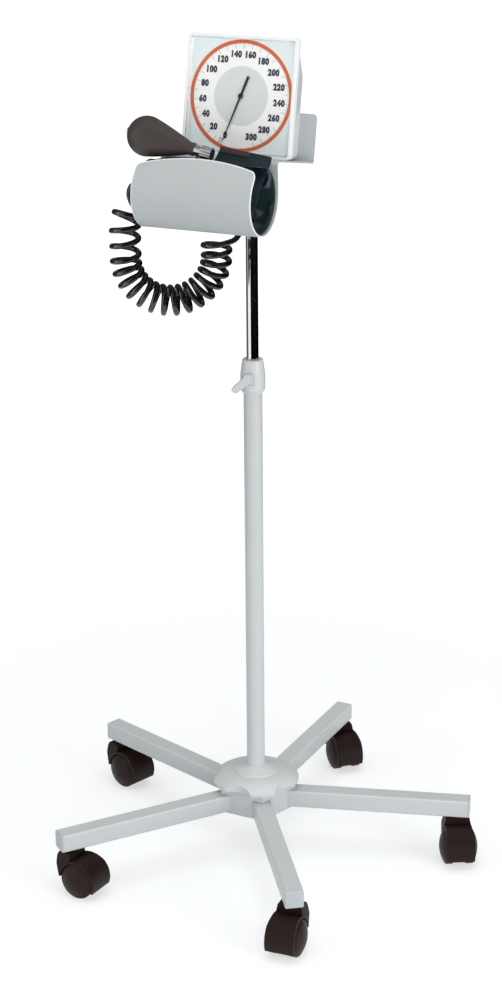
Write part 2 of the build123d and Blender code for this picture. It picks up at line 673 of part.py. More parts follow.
# Head frame: x across, y up the leaning plate, z out towards the reader, from the sheet's inner corner
tilt_sine = sin(radians(HEAD_TILT))
tilt_cosine = cos(radians(HEAD_TILT))
head_frame = Plane(
    origin=(0, HEAD_BACK, HEAD_HEIGHT),
    x_dir=(1, 0, 0),
    z_dir=(0, -tilt_cosine, tilt_sine),
)
side_frame = Plane(origin=(0, 0, 0), x_dir=(0, -1, 0), z_dir=(-1, 0, 0))
trough_height = HEAD_HEIGHT - TROUGH_DROP
socket_bottom = HEAD_HEIGHT - SOCKET_DEPTH
dial_height = GAUGE_SIZE / 2
gauge_back = GAUGE_FACE - FRAME_DEPTH
sector_pitch_radius = GEAR_MODULE * SECTOR_FULL_TEETH / 2
pinion_pitch_radius = GEAR_MODULE * PINION_TEETH / 2
sector_height = dial_height - sector_pitch_radius - pinion_pitch_radius
half_swing = radians(SECTOR_SWING / 2)
pin_across = SECTOR_ARM * (1 + cos(half_swing)) / 2
pin_top = sector_height - SECTOR_ARM * sin(half_swing) - SECTOR_ROLLER_RADIUS - BODY_GAP
pin_bottom = CAPSULE_TOP + BODY_GAP


def side_point(across_shelf, up_plate):
    reach = -HEAD_BACK + across_shelf * tilt_cosine - up_plate * tilt_sine
    height = HEAD_HEIGHT + across_shelf * tilt_sine + up_plate * tilt_cosine
    return (reach, height)


# A column along the plate's height, standing in the head frame at one place on the shelf
def upright(shape, across, out):
    return head_frame * Pos(across, 0, out) * Rot(-90, 0, 0) * shape


# Cuff holder: plate, shelf and trough in one sheet, swept along its middle line
def cuff_holder():
    middle = SHEET / 2
    radius = TROUGH_RADIUS - middle
    start_angle = 180 - TROUGH_WALL_LEAN
    wall_foot = (
        TROUGH_REACH + radius * cos(radians(start_angle)),
        trough_height + radius * sin(radians(start_angle)),
    )
    corner = side_point(-middle, -middle)
    lean = tan(radians(TROUGH_WALL_LEAN))
    slope = tan(radians(HEAD_TILT))
    rise = (corner[1] + (wall_foot[0] - corner[0]) * slope - wall_foot[1]) / (1 - lean * slope)
    shelf_end = (wall_foot[0] + rise * lean, wall_foot[1] + rise)
    plate_top = side_point(-middle, PLATE_HEIGHT)
    back = FilletPolyline(plate_top, corner, shelf_end, wall_foot, radius=[PLATE_BEND, SHELF_BEND])
    turn = 180 + TROUGH_WALL_LEAN + TROUGH_FRONT_ANGLE
    trough = CenterArc((TROUGH_REACH, trough_height), radius, start_angle, turn)
    lip_foot = trough @ 1
    lip = Line(lip_foot, lip_foot + (trough % 1) * LIP_LENGTH)
    path = side_frame * Wire(back.edges() + trough.edges() + lip.edges())
    section = Plane(origin=path @ 0, x_dir=(1, 0, 0), z_dir=path % 0) * Rectangle(SHEET_WIDTH, SHEET)
    sheet = sweep(section, path)
    sheet -= lip_cutter(lip @ 1)
    sheet -= plate_cutter()
    for across, up in plate_screw_places():
        hole = rod(PLATE_SCREW_RADIUS + SEAT_FIT, -SHEET - CUT_PAST, CUT_PAST)
        sheet -= head_frame * Pos(across, up, 0) * hole
    nipple_hole = rod(NIPPLE_SHANK_RADIUS + SEAT_FIT, -SHEET - CUT_PAST, CUT_PAST)
    return sheet - upright(nipple_hole, pin_across, SECTOR_PLANE)


# What the arched front lip leaves out of the sheet
def lip_cutter(lip_top):
    half = SHEET_WIDTH / 2
    low = lip_top.Y - LIP_DROP
    base = lip_top.Y - LIP_LENGTH
    arch = ThreePointArc((half, low), (0, lip_top.Y), (-half, low))
    sides = Polyline((-half, low), (-half, base), (half, base), (half, low))
    kept = make_face(arch + sides)
    kept = fillet(kept.vertices().sort_by(Axis.Y)[-2:], LIP_CORNER)
    waste = Pos(0, lip_top.Y) * Rectangle(SHEET_WIDTH + 2 * CUT_PAST, 2 * LIP_LENGTH) - kept
    return Pos(0, -TROUGH_REACH, 0) * extrude(Plane.XZ * waste, TROUGH_RADIUS)


# What the rounded corners leave out of the plate
def plate_cutter():
    kept = Pos(0, PLATE_HEIGHT / 2) * Rectangle(SHEET_WIDTH, PLATE_HEIGHT)
    kept = fillet(kept.vertices().sort_by(Axis.Y)[-2:], PLATE_CORNER)
    corners = Rectangle(SHEET_WIDTH + 2 * CUT_PAST, 2 * PLATE_CORNER)
    waste = Pos(0, PLATE_HEIGHT) * corners - kept
    return head_frame * Pos(0, 0, -2 * SHEET) * extrude(waste, 3 * SHEET)


def plate_screw_places():
    return [(side * PLATE_SCREW_SPREAD, row) for row in PLATE_SCREW_ROWS for side in (-1, 1)]


def bracket_screws():
    screws = []
    for across, up in plate_screw_places():
        screw = rod(PLATE_SCREW_RADIUS, -SHEET, PLATE_SCREW_LENGTH - SHEET)
        head = rod(PLATE_SCREW_HEAD_RADIUS, -SHEET - PLATE_SCREW_HEAD_HEIGHT, -SHEET)
        slot = Box(2 * PLATE_SCREW_HEAD_RADIUS, PLATE_SCREW_SLOT, PLATE_SCREW_HEAD_HEIGHT)
        head -= Pos(0, 0, -SHEET - PLATE_SCREW_HEAD_HEIGHT) * slot
        screws.append(head_frame * Pos(across, up, 0) * (screw + head))
    return Compound(children=screws)


# Head socket: welded under the shelf, over the top of the inner tube
def head_socket():
    flange_middle = SOCKET_FLANGE_START + SOCKET_FLANGE_DEPTH / 2
    flange = Box(SOCKET_FLANGE_WIDTH, SOCKET_FLANGE_THICKNESS, SOCKET_FLANGE_DEPTH)
    flange = fillet(flange.edges().filter_by(Axis.Y), SOCKET_FLANGE_CORNER)
    flange = head_frame * Pos(0, -SHEET - SOCKET_FLANGE_THICKNESS / 2, flange_middle) * flange
    above = Box(4 * SOCKET_RADIUS, 4 * SOCKET_RADIUS, 6 * SOCKET_RADIUS)
    above = head_frame * Pos(0, 2 * SOCKET_RADIUS - SHEET, flange_middle) * above
    barrel = rod(SOCKET_RADIUS, socket_bottom, HEAD_HEIGHT + SOCKET_RADIUS) - above
    shelf_under = HEAD_HEIGHT + HEAD_BACK * tan(radians(HEAD_TILT)) - SHEET / tilt_cosine
    flange_under = shelf_under - SOCKET_FLANGE_THICKNESS
    gusset_reach = SOCKET_FLANGE_WIDTH / 2 - GUSSET_SETBACK
    gusset_root = SOCKET_RADIUS - GUSSET_ROOT
    gusset = Polygon(
        (gusset_root, flange_under - GUSSET_DROP),
        (gusset_reach, flange_under - GUSSET_EDGE),
        (gusset_reach, shelf_under - GUSSET_SINK),
        (gusset_root, shelf_under - GUSSET_SINK),
        align=None,
    )
    gusset = extrude(Plane.XZ * gusset, GUSSET_THICKNESS / 2, both=True)
    gussets = gusset + mirror(gusset, Plane.YZ)
    bore = rod(INNER_TUBE_RADIUS + SEAT_FIT, socket_bottom, HEAD_HEIGHT + SOCKET_RADIUS)
    return flange + barrel + gussets - bore


# Gauge housing: a tapered shell that stands on the shelf with its back on the plate
def tapered_block(inset, back, front):
    back_size = HOUSING_BACK_SIZE - 2 * inset
    front_size = HOUSING_FRONT_SIZE - 2 * inset
    corner = HOUSING_CORNER - inset
    back_face = Pos(0, inset + back_size / 2, back) * RectangleRounded(back_size, back_size, corner)
    front_face = Pos(0, inset + front_size / 2, front) * RectangleRounded(front_size, front_size, corner)
    return loft([back_face, front_face])


def gauge_housing():
    shell = tapered_block(0, 0, gauge_back)
    shell -= tapered_block(HOUSING_WALL, HOUSING_WALL, gauge_back + SEAT_FIT)
    for across, up in plate_screw_places():
        hole = rod(PLATE_SCREW_RADIUS + SEAT_FIT, -CUT_PAST, HOUSING_WALL + CUT_PAST)
        shell -= Pos(across, up, 0) * hole
    heel = Box(2 * HOUSING_FRONT_SIZE, 2 * PLATE_BEND, 2 * PLATE_BEND)
    shell -= Rot(45, 0, 0) * heel
    nipple_hole = rod(NIPPLE_SHANK_RADIUS + SEAT_FIT, -CUT_PAST, HOUSING_WALL + CUT_PAST)
    return head_frame * shell - upright(nipple_hole, pin_across, SECTOR_PLANE)


lens_back = GAUGE_FACE - LENS_RECESS - LENS_THICKNESS
frame_opening = GAUGE_SIZE - 2 * FRAME_RIM
dial_front = gauge_back + DIAL_THICKNESS


def front_frame():
    inner_corner = GAUGE_CORNER - FRAME_RIM
    frame = rounded_bar(GAUGE_SIZE, GAUGE_SIZE, GAUGE_CORNER, gauge_back, GAUGE_FACE)
    frame = fillet(frame.faces().sort_by(Axis.Z)[-1].edges(), FRAME_EDGE)
    ledge = frame_opening - 2 * LENS_LEDGE
    frame -= rounded_bar(frame_opening, frame_opening, inner_corner, gauge_back, dial_front)
    frame -= rounded_bar(ledge, ledge, inner_corner, dial_front, lens_back)
    frame -= rounded_bar(frame_opening, frame_opening, inner_corner, lens_back, GAUGE_FACE)
    return head_frame * Pos(0, dial_height, 0) * frame


def lens():
    size = frame_opening - 2 * SEAT_FIT
    pane = rounded_bar(size, size, GAUGE_CORNER - FRAME_RIM, lens_back, lens_back + LENS_THICKNESS)
    return head_frame * Pos(0, dial_height, 0) * pane


def dial_plate():
    size = frame_opening - 2 * SEAT_FIT
    plate = rounded_bar(size, size, GAUGE_CORNER - FRAME_RIM, gauge_back, dial_front)
    plate -= rod(DIAL_HOLE_RADIUS, gauge_back, dial_front)
    return head_frame * Pos(0, dial_height, 0) * plate


# Pointer: a tapered needle with a blunt tail and a boss, on the arbor
def pointer():
    low = dial_front + POINTER_DISTANCE
    half_tail = POINTER_TAIL_WIDTH / 2
    half_root = POINTER_ROOT_WIDTH / 2
    half_tip = POINTER_TIP_WIDTH / 2
    needle = Polygon(
        (-POINTER_TAIL, half_tail),
        (-POINTER_TAIL, -half_tail),
        (0, -half_root),
        (POINTER_LENGTH, -half_tip),
        (POINTER_LENGTH, half_tip),
        (0, half_root),
        align=None,
    )
    blade = Pos(0, 0, low) * extrude(needle, POINTER_THICKNESS)
    boss = rod(POINTER_BOSS_RADIUS, low - BODY_GAP, low + 2 * POINTER_THICKNESS)
    bore = rod(ARBOR_RADIUS + SEAT_FIT, low - CUT_PAST, low + 2 * POINTER_THICKNESS + CUT_PAST)
    turned_pointer = Rot(0, 0, POINTER_REST_ANGLE) * (blade + boss - bore)
    return head_frame * Pos(0, dial_height, 0) * turned_pointer


def tooth(pitch_radius, centre_angle, root_radius, tip_radius):
    half_pitch = GEAR_MODULE * pi * TOOTH_FILL / 2
    half_root = half_pitch + TOOTH_SLOPE * TOOTH_DEDENDUM
    half_tip = half_pitch - TOOTH_SLOPE * TOOTH_ADDENDUM
    root = degrees(half_root / pitch_radius)
    tip = degrees(half_tip / pitch_radius)
    return Polygon(
        polar(root_radius, centre_angle - root)[:2],
        polar(tip_radius, centre_angle - tip)[:2],
        polar(tip_radius, centre_angle + tip)[:2],
        polar(root_radius, centre_angle + root)[:2],
        align=None,
    )


def pointer_arbor():
    root_radius = pinion_pitch_radius - TOOTH_DEDENDUM
    outline = Circle(root_radius)
    for index in range(PINION_TEETH):
        angle = 270 + 360 / PINION_TEETH * index
        tip_radius = pinion_pitch_radius + TOOTH_ADDENDUM
        outline += tooth(pinion_pitch_radius, angle, root_radius - TOOTH_ROOT_LAP, tip_radius)
    pinion = Pos(0, 0, SECTOR_PLANE - PINION_THICKNESS / 2) * extrude(outline, PINION_THICKNESS)
    top = dial_front + POINTER_DISTANCE + 2 * POINTER_THICKNESS + BODY_GAP
    arbor = rod(ARBOR_RADIUS, MOVEMENT_BACK + BODY_GAP, top)
    return head_frame * Pos(0, dial_height, 0) * (arbor + pinion)


def sector_gear():
    root_radius = sector_pitch_radius - TOOTH_DEDENDUM
    tooth_step = 360 / SECTOR_FULL_TEETH
    first = 90 + tooth_step / 2 + tooth_step * SECTOR_LEAD_TEETH
    last = first - tooth_step * (SECTOR_TEETH - 1)
    high_edge = first + tooth_step
    low_edge = last - tooth_step
    wedge_radius = 2 * sector_pitch_radius
    low_corner = polar(wedge_radius, low_edge)[:2]
    high_corner = polar(wedge_radius, high_edge)[:2]
    wedge = Polygon((0, 0), low_corner, high_corner, align=None)
    outline = (Circle(root_radius) - Circle(root_radius - SECTOR_RIM)) & wedge
    for index in range(SECTOR_TEETH):
        angle = first - tooth_step * index
        tip_radius = sector_pitch_radius + TOOTH_ADDENDUM
        outline += tooth(sector_pitch_radius, angle, root_radius - TOOTH_ROOT_LAP, tip_radius)
    spoke_length = root_radius - SECTOR_RIM / 2
    for angle in (low_edge + 2 * tooth_step, high_edge - 2 * tooth_step):
        outline += Rot(0, 0, angle) * Pos(spoke_length / 2, 0) * Rectangle(spoke_length, SECTOR_SPOKE)
    arm = Pos(SECTOR_ARM / 2, 0) * Rectangle(SECTOR_ARM, SECTOR_ARM_WIDTH)
    arm += Pos(SECTOR_ARM, 0) * Circle(SECTOR_ROLLER_RADIUS)
    outline += Rot(0, 0, -SECTOR_SWING / 2) * arm
    outline += Circle(SECTOR_HUB_RADIUS)
    plate = Pos(0, 0, SECTOR_PLANE - SECTOR_THICKNESS / 2) * extrude(outline, SECTOR_THICKNESS)
    shaft = rod(SECTOR_SHAFT_RADIUS, MOVEMENT_BACK + BODY_GAP, MOVEMENT_FRONT + MOVEMENT_PLATE - BODY_GAP)
    return head_frame * Pos(0, sector_height, 0) * (plate + shaft)


# Movement frame: two plates on pillars, a guide for the pin and a pedestal to the housing's back
def movement_frame():
    height = MOVEMENT_TOP - MOVEMENT_BOTTOM
    middle = (MOVEMENT_TOP + MOVEMENT_BOTTOM) / 2
    plate = extrude(RectangleRounded(MOVEMENT_WIDTH, height, PILLAR_INSET), MOVEMENT_PLATE)
    frame = Pos(0, middle, MOVEMENT_BACK) * plate
    frame += Pos(0, middle, MOVEMENT_FRONT) * plate
    side = MOVEMENT_WIDTH / 2 - PILLAR_INSET
    high = MOVEMENT_TOP - PILLAR_INSET
    low = MOVEMENT_BOTTOM + PILLAR_INSET
    for across, up in ((side, high), (-side, high), (-side, low)):
        pillar = rod(PILLAR_RADIUS, MOVEMENT_BACK + CUT_PAST, MOVEMENT_FRONT + CUT_PAST)
        frame += Pos(across, up, 0) * pillar
    guide_depth = MOVEMENT_FRONT - MOVEMENT_BACK
    guide = Box(PIN_GUIDE_WIDTH, PIN_GUIDE_TOP - PIN_GUIDE_BOTTOM, guide_depth)
    guide_middle = (PIN_GUIDE_TOP + PIN_GUIDE_BOTTOM) / 2
    frame += Pos(pin_across, guide_middle, MOVEMENT_BACK + CUT_PAST + guide_depth / 2) * guide
    pedestal = rod(PEDESTAL_RADIUS, HOUSING_WALL, MOVEMENT_BACK + CUT_PAST)
    pedestal += rod(PEDESTAL_FOOT_RADIUS, HOUSING_WALL, HOUSING_WALL + PEDESTAL_FOOT)
    frame += Pos(0, PEDESTAL_HEIGHT, 0) * pedestal
    reach = MOVEMENT_FRONT + MOVEMENT_PLATE + CUT_PAST
    frame -= Pos(0, dial_height, 0) * rod(ARBOR_RADIUS + RUNNING_FIT, MOVEMENT_BACK, reach)
    frame -= Pos(0, sector_height, 0) * rod(SECTOR_SHAFT_RADIUS + RUNNING_FIT, MOVEMENT_BACK, reach)
    pin_hole = rod(PIN_RADIUS + RUNNING_FIT, PIN_GUIDE_BOTTOM - CUT_PAST, PIN_GUIDE_TOP + CUT_PAST)
    return head_frame * frame - upright(pin_hole, pin_across, SECTOR_PLANE)


def push_pin():
    return upright(rod(PIN_RADIUS, pin_bottom, pin_top), pin_across, SECTOR_PLANE)


# Pressure capsule: two ringed diaphragms on a stud over the hose's nipple
def pressure_capsule():
    middle = CAPSULE_TOP - CAPSULE_HALF_HEIGHT
    step = (CAPSULE_RADIUS - CAPSULE_BOSS_RADIUS) / CAPSULE_RINGS
    upper = [(0, CAPSULE_TOP), (CAPSULE_BOSS_RADIUS, CAPSULE_TOP)]
    for index in range(1, CAPSULE_RINGS):
        fall = CAPSULE_FALL * (index / CAPSULE_RINGS) ** 2
        wave = CAPSULE_WAVE if index % 2 else 0
        upper.append((CAPSULE_BOSS_RADIUS + step * index, CAPSULE_TOP - fall - wave))
    upper.append((CAPSULE_RADIUS, middle + CAPSULE_SEAM))
    lower = [(radius, 2 * middle - height) for radius, height in reversed(upper[2:])]
    stud = [
        (CAPSULE_STUD_RADIUS, 2 * middle - CAPSULE_TOP),
        (CAPSULE_STUD_RADIUS, HOUSING_WALL),
        (NIPPLE_SHANK_RADIUS + SEAT_FIT, HOUSING_WALL),
        (NIPPLE_SHANK_RADIUS + SEAT_FIT, NIPPLE_TOP + SEAT_FIT),
        (0, NIPPLE_TOP + SEAT_FIT),
    ]
    outline = Polyline(*(upper + lower + stud), close=True)
    return upright(turned(make_face(outline)), pin_across, SECTOR_PLANE)


def hose_nipple():
    flange_bottom = -SHEET - NIPPLE_FLANGE
    nipple = rod(NIPPLE_SHANK_RADIUS, -SHEET, NIPPLE_TOP)
    nipple += rod(NIPPLE_FLANGE_RADIUS, flange_bottom, -SHEET)
    nipple += rod(NIPPLE_SLEEVE_RADIUS, flange_bottom - NIPPLE_SLEEVE, flange_bottom)
    return upright(nipple, pin_across, SECTOR_PLANE)


# Cuff: rolled in the trough, with its free flap standing up in front of the gauge
cuff_radius = TROUGH_RADIUS - SHEET - BODY_GAP


def cuff():
    roll = Pos(TROUGH_REACH, trough_height) * (Circle(cuff_radius) - Circle(CUFF_INNER_RADIUS))
    length = CUFF_RIGHT - CUFF_LEFT
    solid = side_frame * Pos(0, 0, -CUFF_RIGHT) * extrude(roll, length)
    flap = Polygon(
        FLAP_FOOT,
        (FLAP_FOOT[0] + FLAP_THICKNESS, FLAP_FOOT[1]),
        (FLAP_HEAD[0] + FLAP_THICKNESS, FLAP_HEAD[1]),
        FLAP_HEAD,
        align=None,
    )
    flap = extrude(Pos(TROUGH_REACH, trough_height) * flap, CUFF_RIGHT - FLAP_LEFT)
    flap = side_frame * Pos(0, 0, -CUFF_RIGHT) * flap
    fall = atan2(FLAP_LEFT_RISE - FLAP_RIGHT_RISE, CUFF_RIGHT - FLAP_LEFT)
    upward = (Align.CENTER, Align.CENTER, Align.MIN)
    waste = Box(4 * cuff_radius, 2 * cuff_radius, cuff_radius, align=upward)
    corner = Pos(FLAP_LEFT, -TROUGH_REACH - FLAP_HEAD[0], trough_height + FLAP_LEFT_RISE)
    return solid + (flap - corner * Rot(0, degrees(fall), 0) * waste)


# Bulb frame: z along the bulb's axis, from the middle of its round end towards the valve
bulb_gap = cuff_radius + BULB_RADIUS + BODY_GAP
bulb_height = trough_height + sqrt(bulb_gap ** 2 - BULB_SETBACK ** 2)
bulb_frame = Plane(
    origin=(BULB_ACROSS, BULB_SETBACK - TROUGH_REACH, bulb_height),
    x_dir=(0, 1, 0),
    z_dir=(cos(radians(BULB_DROOP)), 0, -sin(radians(BULB_DROOP))),
)


def bulb():
    shoulder_angle = radians(BULB_SHOULDER_ANGLE)
    shoulder = (BULB_RADIUS * sin(shoulder_angle), BULB_RADIUS * cos(shoulder_angle))
    round_end = ThreePointArc((0, -BULB_RADIUS), (BULB_RADIUS, 0), shoulder)
    flank = TangentArc(shoulder, (BULB_NECK_RADIUS, BULB_NECK_START), tangent=round_end % 1)
    closing = Polyline(
        (BULB_NECK_RADIUS, BULB_NECK_START),
        (BULB_NECK_END_RADIUS, BULB_LENGTH),
        (0, BULB_LENGTH),
        (0, -BULB_RADIUS),
    )
    solid = turned(make_face(round_end + flank + closing))
    solid -= rod(END_VALVE_RADIUS, -BULB_RADIUS, END_VALVE_DEPTH - BULB_RADIUS)
    solid -= rod(VALVE_SHANK_RADIUS, BULB_LENGTH - VALVE_SHANK, BULB_LENGTH)
    return bulb_frame * solid


def bulb_end_valve():
    return bulb_frame * rod(END_VALVE_RADIUS, -BULB_RADIUS - END_VALVE_STAND, END_VALVE_DEPTH - BULB_RADIUS)


def valve_body():
    end = BULB_LENGTH + VALVE_BODY_LENGTH
    body = rod(VALVE_SHANK_RADIUS, BULB_LENGTH - VALVE_SHANK, BULB_LENGTH)
    body += rod(VALVE_BODY_RADIUS, BULB_LENGTH, end)
    body -= rod(RELEASE_SPINDLE_RADIUS + SPINDLE_FIT, end - RELEASE_SPINDLE - CUT_PAST, end)
    body = bulb_frame * body
    centre = bulb_frame.from_local_coords((0, 0, BULB_LENGTH + VALVE_OUTLET_STEP))
    outlet_bottom = trough_height + cuff_radius + BODY_GAP
    outlet = Pos(centre.X, centre.Y, 0) * rod(VALVE_OUTLET_RADIUS, outlet_bottom, centre.Z)
    return body + (outlet - bulb_frame * rod(RELEASE_SPINDLE_RADIUS + CUT_PAST, BULB_LENGTH, end))


def release_wheel():
    start = BULB_LENGTH + VALVE_BODY_LENGTH + BODY_GAP
    points = []
    for index in range(2 * RELEASE_WHEEL_FLUTES):
        radius = RELEASE_WHEEL_RADIUS - (RELEASE_FLUTE_DEPTH if index % 2 else 0)
        points.append(polar(radius, 180 / RELEASE_WHEEL_FLUTES * index)[:2])
    grip = extrude(Polygon(*points, align=None), RELEASE_WHEEL_LENGTH)
    wheel = Pos(0, 0, start) * grip
    return bulb_frame * (wheel + rod(RELEASE_SPINDLE_RADIUS, start - RELEASE_SPINDLE, start))


# Curly hose: how many curls lie on each stretch of the U, and how long that stretch is
u_stretches = [
    (CURLS_LEAN, U_LEAN_LENGTH),
    (CURLS_LEFT, U_LEFT_RISE),
    (CURLS_BEND, pi * U_RADIUS),
    (CURLS_RIGHT, U_RIGHT_RISE),
]
curl_count = sum(curls for curls, length in u_stretches)


# A point of the U's middle line at a distance from its left end, with the direction to its inner side
def u_axis(distance):
    heading = Vector(cos(radians(U_HEADING)), -sin(radians(U_HEADING)), 0)
    up = Vector(0, 0, 1)
    centre = Vector(U_CENTRE[0], U_CENTRE[1], HEAD_HEIGHT - U_DROP)
    past_lean = distance - U_LEAN_LENGTH
    past_left = past_lean - U_LEFT_RISE
    past_bend = past_left - pi * U_RADIUS
    if past_lean < 0:
        angle = past_lean / U_LEAN_RADIUS
        inward = heading * cos(angle) + up * sin(angle)
        lean_centre = centre + heading * (U_LEAN_RADIUS - U_RADIUS) + up * U_LEFT_RISE
        return lean_centre - inward * U_LEAN_RADIUS, inward
    if past_left < 0:
        return centre - heading * U_RADIUS - up * past_left, heading
    if past_bend > 0:
        return centre + heading * U_RADIUS + up * past_bend, heading * -1
    angle = past_left / U_RADIUS
    inward = heading * cos(angle) + up * sin(angle)
    return centre - inward * U_RADIUS, inward


def curl_distance(turns):
    before = 0
    for curls, length in u_stretches:
        distance = before + length * turns / curls
        if turns <= curls:
            break
        turns -= curls
        before += length
    return distance


def curl_point(turns):
    place, inward = u_axis(curl_distance(turns))
    across = Vector(sin(radians(U_HEADING)), cos(radians(U_HEADING)), 0)
    angle = radians(CURL_START_ANGLE) + 2 * pi * turns
    return place + inward * (CURL_RADIUS * cos(angle)) - across * (CURL_RADIUS * sin(angle))


def curl_direction(turns):
    step = 0.002
    return unit(curl_point(turns + step) - curl_point(turns - step))


# Two arcs from one point and direction to the next, meeting smoothly
def two_arcs(start, start_direction, end, end_direction):
    chord = end - start
    both = start_direction + end_direction
    open_angle = 2 * (1 - start_direction.dot(end_direction))
    along = chord.dot(both)
    reach = (sqrt(along ** 2 + open_angle * chord.dot(chord)) - along) / open_angle
    start_handle = start + start_direction * reach
    end_handle = end - end_direction * reach
    joint = (start_handle + end_handle) * 0.5
    first = TangentArc(start, joint, tangent=start_direction)
    second = TangentArc(joint, end, tangent=end_handle - start_handle)
    return [first.edge(), second.edge()]


def route_radii(points):
    radii = []
    for index in range(1, len(points) - 1):
        before = points[index] - points[index - 1]
        after = points[index + 1] - points[index]
        shorter = min(before.length, after.length)
        radii.append(BEND_SHARE * shorter / tan(radians(before.get_angle(after)) / 2))
    return radii


def free_end(points):
    radii = route_radii(points)
    print("hose end radii", [round(radius, 1) for radius in radii])
    return FilletPolyline(*points, radius=radii)


# Middle line of the hose, from the cuff's left end through the curls to the nipple under the shelf
def hose_path():
    steps = round(curl_count * CURL_STEPS)
    stations = [curl_count * index / steps for index in range(steps + 1)]
    edges = []
    for before, after in zip(stations, stations[1:]):
        start = curl_point(before)
        end = curl_point(after)
        edges += two_arcs(start, curl_direction(before), end, curl_direction(after))
    radii = [edge.radius for edge in edges]
    print("hose curls", round(curl_count, 2), "least radius", round(min(radii), 1))
    cuff_reach = TROUGH_REACH - (cuff_radius + CUFF_INNER_RADIUS) / 2
    cuff_end = Vector(CUFF_LEFT, -cuff_reach, trough_height)
    cuff_lead = cuff_end - Vector(CUFF_LEAD, 0, 0)
    left_start = curl_point(0) - curl_direction(0) * LEFT_LEAD
    left_route = [Vector(*place, HEAD_HEIGHT - drop) for place, drop in zip(LEFT_ROUTE, LEFT_ROUTE_DROPS)]
    left = free_end([cuff_end, cuff_lead] + left_route + [left_start, curl_point(0)])
    sleeve_end = -SHEET - NIPPLE_FLANGE - NIPPLE_SLEEVE
    nipple_end = head_frame.from_local_coords(Vector(pin_across, sleeve_end, SECTOR_PLANE))
    nipple_lead = head_frame.from_local_coords(Vector(pin_across, sleeve_end - NIPPLE_LEAD, SECTOR_PLANE))
    right_start = curl_point(curl_count) + curl_direction(curl_count) * RIGHT_LEAD
    right_bend = Vector(*RIGHT_BEND, HEAD_HEIGHT - RIGHT_BEND_DROP)
    right = free_end([curl_point(curl_count), right_start, right_bend, nipple_lead, nipple_end])
    return Wire(left.edges() + edges + right.edges())


def least_gap(path):
    length = path.length
    count = int(length / GAP_STEP)
    points = [path @ (index / count) for index in range(count + 1)]
    skip = int(4 * HOSE_DIAMETER / GAP_STEP)
    least = length
    for index, point in enumerate(points):
        for other in points[index + skip:]:
            least = min(least, (point - other).length)
    return least - HOSE_DIAMETER


def curly_hose():
    path = hose_path()
    print("hose length", round(path.length), "least gap to itself", round(least_gap(path), 2))
    section = Plane(origin=path @ 0, z_dir=path % 0) * RegularPolygon(HOSE_DIAMETER / 2, HOSE_SIDES)
    hose = sweep(section, path, clean=False)
    print("hose volume over section times length", round(hose.volume / (section.area * path.length), 4))
    return hose


# Write every piece
save("base_hub", base_hub())
save("hub_cover", hub_cover())
for number, angle in enumerate(leg_angles, 1):
    save(f"leg_{number}", leg(angle))
save("leg_end_caps", Compound(children=[leg_end_cap(angle) for angle in leg_angles]))
stems = [Pos(*polar(caster_circle, angle)) * caster_stem() for angle in leg_angles]
save("caster_stems", Compound(children=stems))
screws = [piece for angle in leg_angles for piece in leg_screw_set(angle)]
save("base_screws", Compound(children=screws))
save("outer_tube", outer_tube())
save("column_plug", column_plug())
save("column_bolt", column_bolt())
save("clamp_collar", clamp_collar())
save("guide_bush", guide_bush())
save("clamp_nut", clamp_nut())
save("clamp_lever", clamp_lever())
save("clamp_screw", clamp_screw())
save("mast_glide", mast_glide())
save("inner_tube", inner_tube())
save("head_socket", head_socket())
save("bracket_screws", bracket_screws())
save("cuff_holder", cuff_holder())
save("gauge_housing", gauge_housing())
save("front_frame", front_frame())
save("lens", lens())
save("dial_plate", dial_plate())
save("movement_frame", movement_frame())
save("pressure_capsule", pressure_capsule())
save("hose_nipple", hose_nipple())
save("curly_hose", curly_hose())
save("cuff", cuff())
save("bulb", bulb())
save("bulb_end_valve", bulb_end_valve())
save("valve_body", valve_body())
save("release_wheel", release_wheel())
save("pointer", pointer())
save("pointer_arbor", pointer_arbor())
save("sector_gear", sector_gear())
save("push_pin", push_pin())
for number, (leg_angle, trail_angle) in enumerate(zip(leg_angles, TRAIL_ANGLES), 1):
    place = Pos(*polar(caster_circle, leg_angle)) * Rot(0, 0, trail_angle)
    save(f"caster_hood_{number}", place * caster_hood())
    save(f"caster_axle_{number}", place * caster_axle())
    save(f"wheel_left_{number}", place * caster_wheel(1))
    save(f"wheel_right_{number}", place * caster_wheel(-1))
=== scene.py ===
import json
from math import asin, atan2, cos, hypot, pi, radians, sin, tan

import bmesh
import bpy
from mathutils import Matrix, Vector, noise


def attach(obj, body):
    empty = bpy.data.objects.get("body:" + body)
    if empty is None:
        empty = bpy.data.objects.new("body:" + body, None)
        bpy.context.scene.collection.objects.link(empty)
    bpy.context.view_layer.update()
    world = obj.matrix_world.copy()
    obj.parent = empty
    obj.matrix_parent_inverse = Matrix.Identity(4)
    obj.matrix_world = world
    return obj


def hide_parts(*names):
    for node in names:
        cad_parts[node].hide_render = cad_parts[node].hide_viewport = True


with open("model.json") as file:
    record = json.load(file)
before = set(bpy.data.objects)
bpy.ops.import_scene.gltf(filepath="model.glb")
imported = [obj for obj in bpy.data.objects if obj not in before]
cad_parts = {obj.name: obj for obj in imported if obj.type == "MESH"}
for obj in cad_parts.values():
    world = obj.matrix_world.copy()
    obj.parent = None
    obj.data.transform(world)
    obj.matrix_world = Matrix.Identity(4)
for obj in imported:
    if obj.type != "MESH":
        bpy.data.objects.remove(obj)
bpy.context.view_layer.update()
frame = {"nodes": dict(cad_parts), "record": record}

# Sizes are in millimetres, but in metres for the camera, the floor, the lamps, the cards and the flat sheets.
# Angles are in degrees
MM = 0.001
WELD_DISTANCE = 1e-6


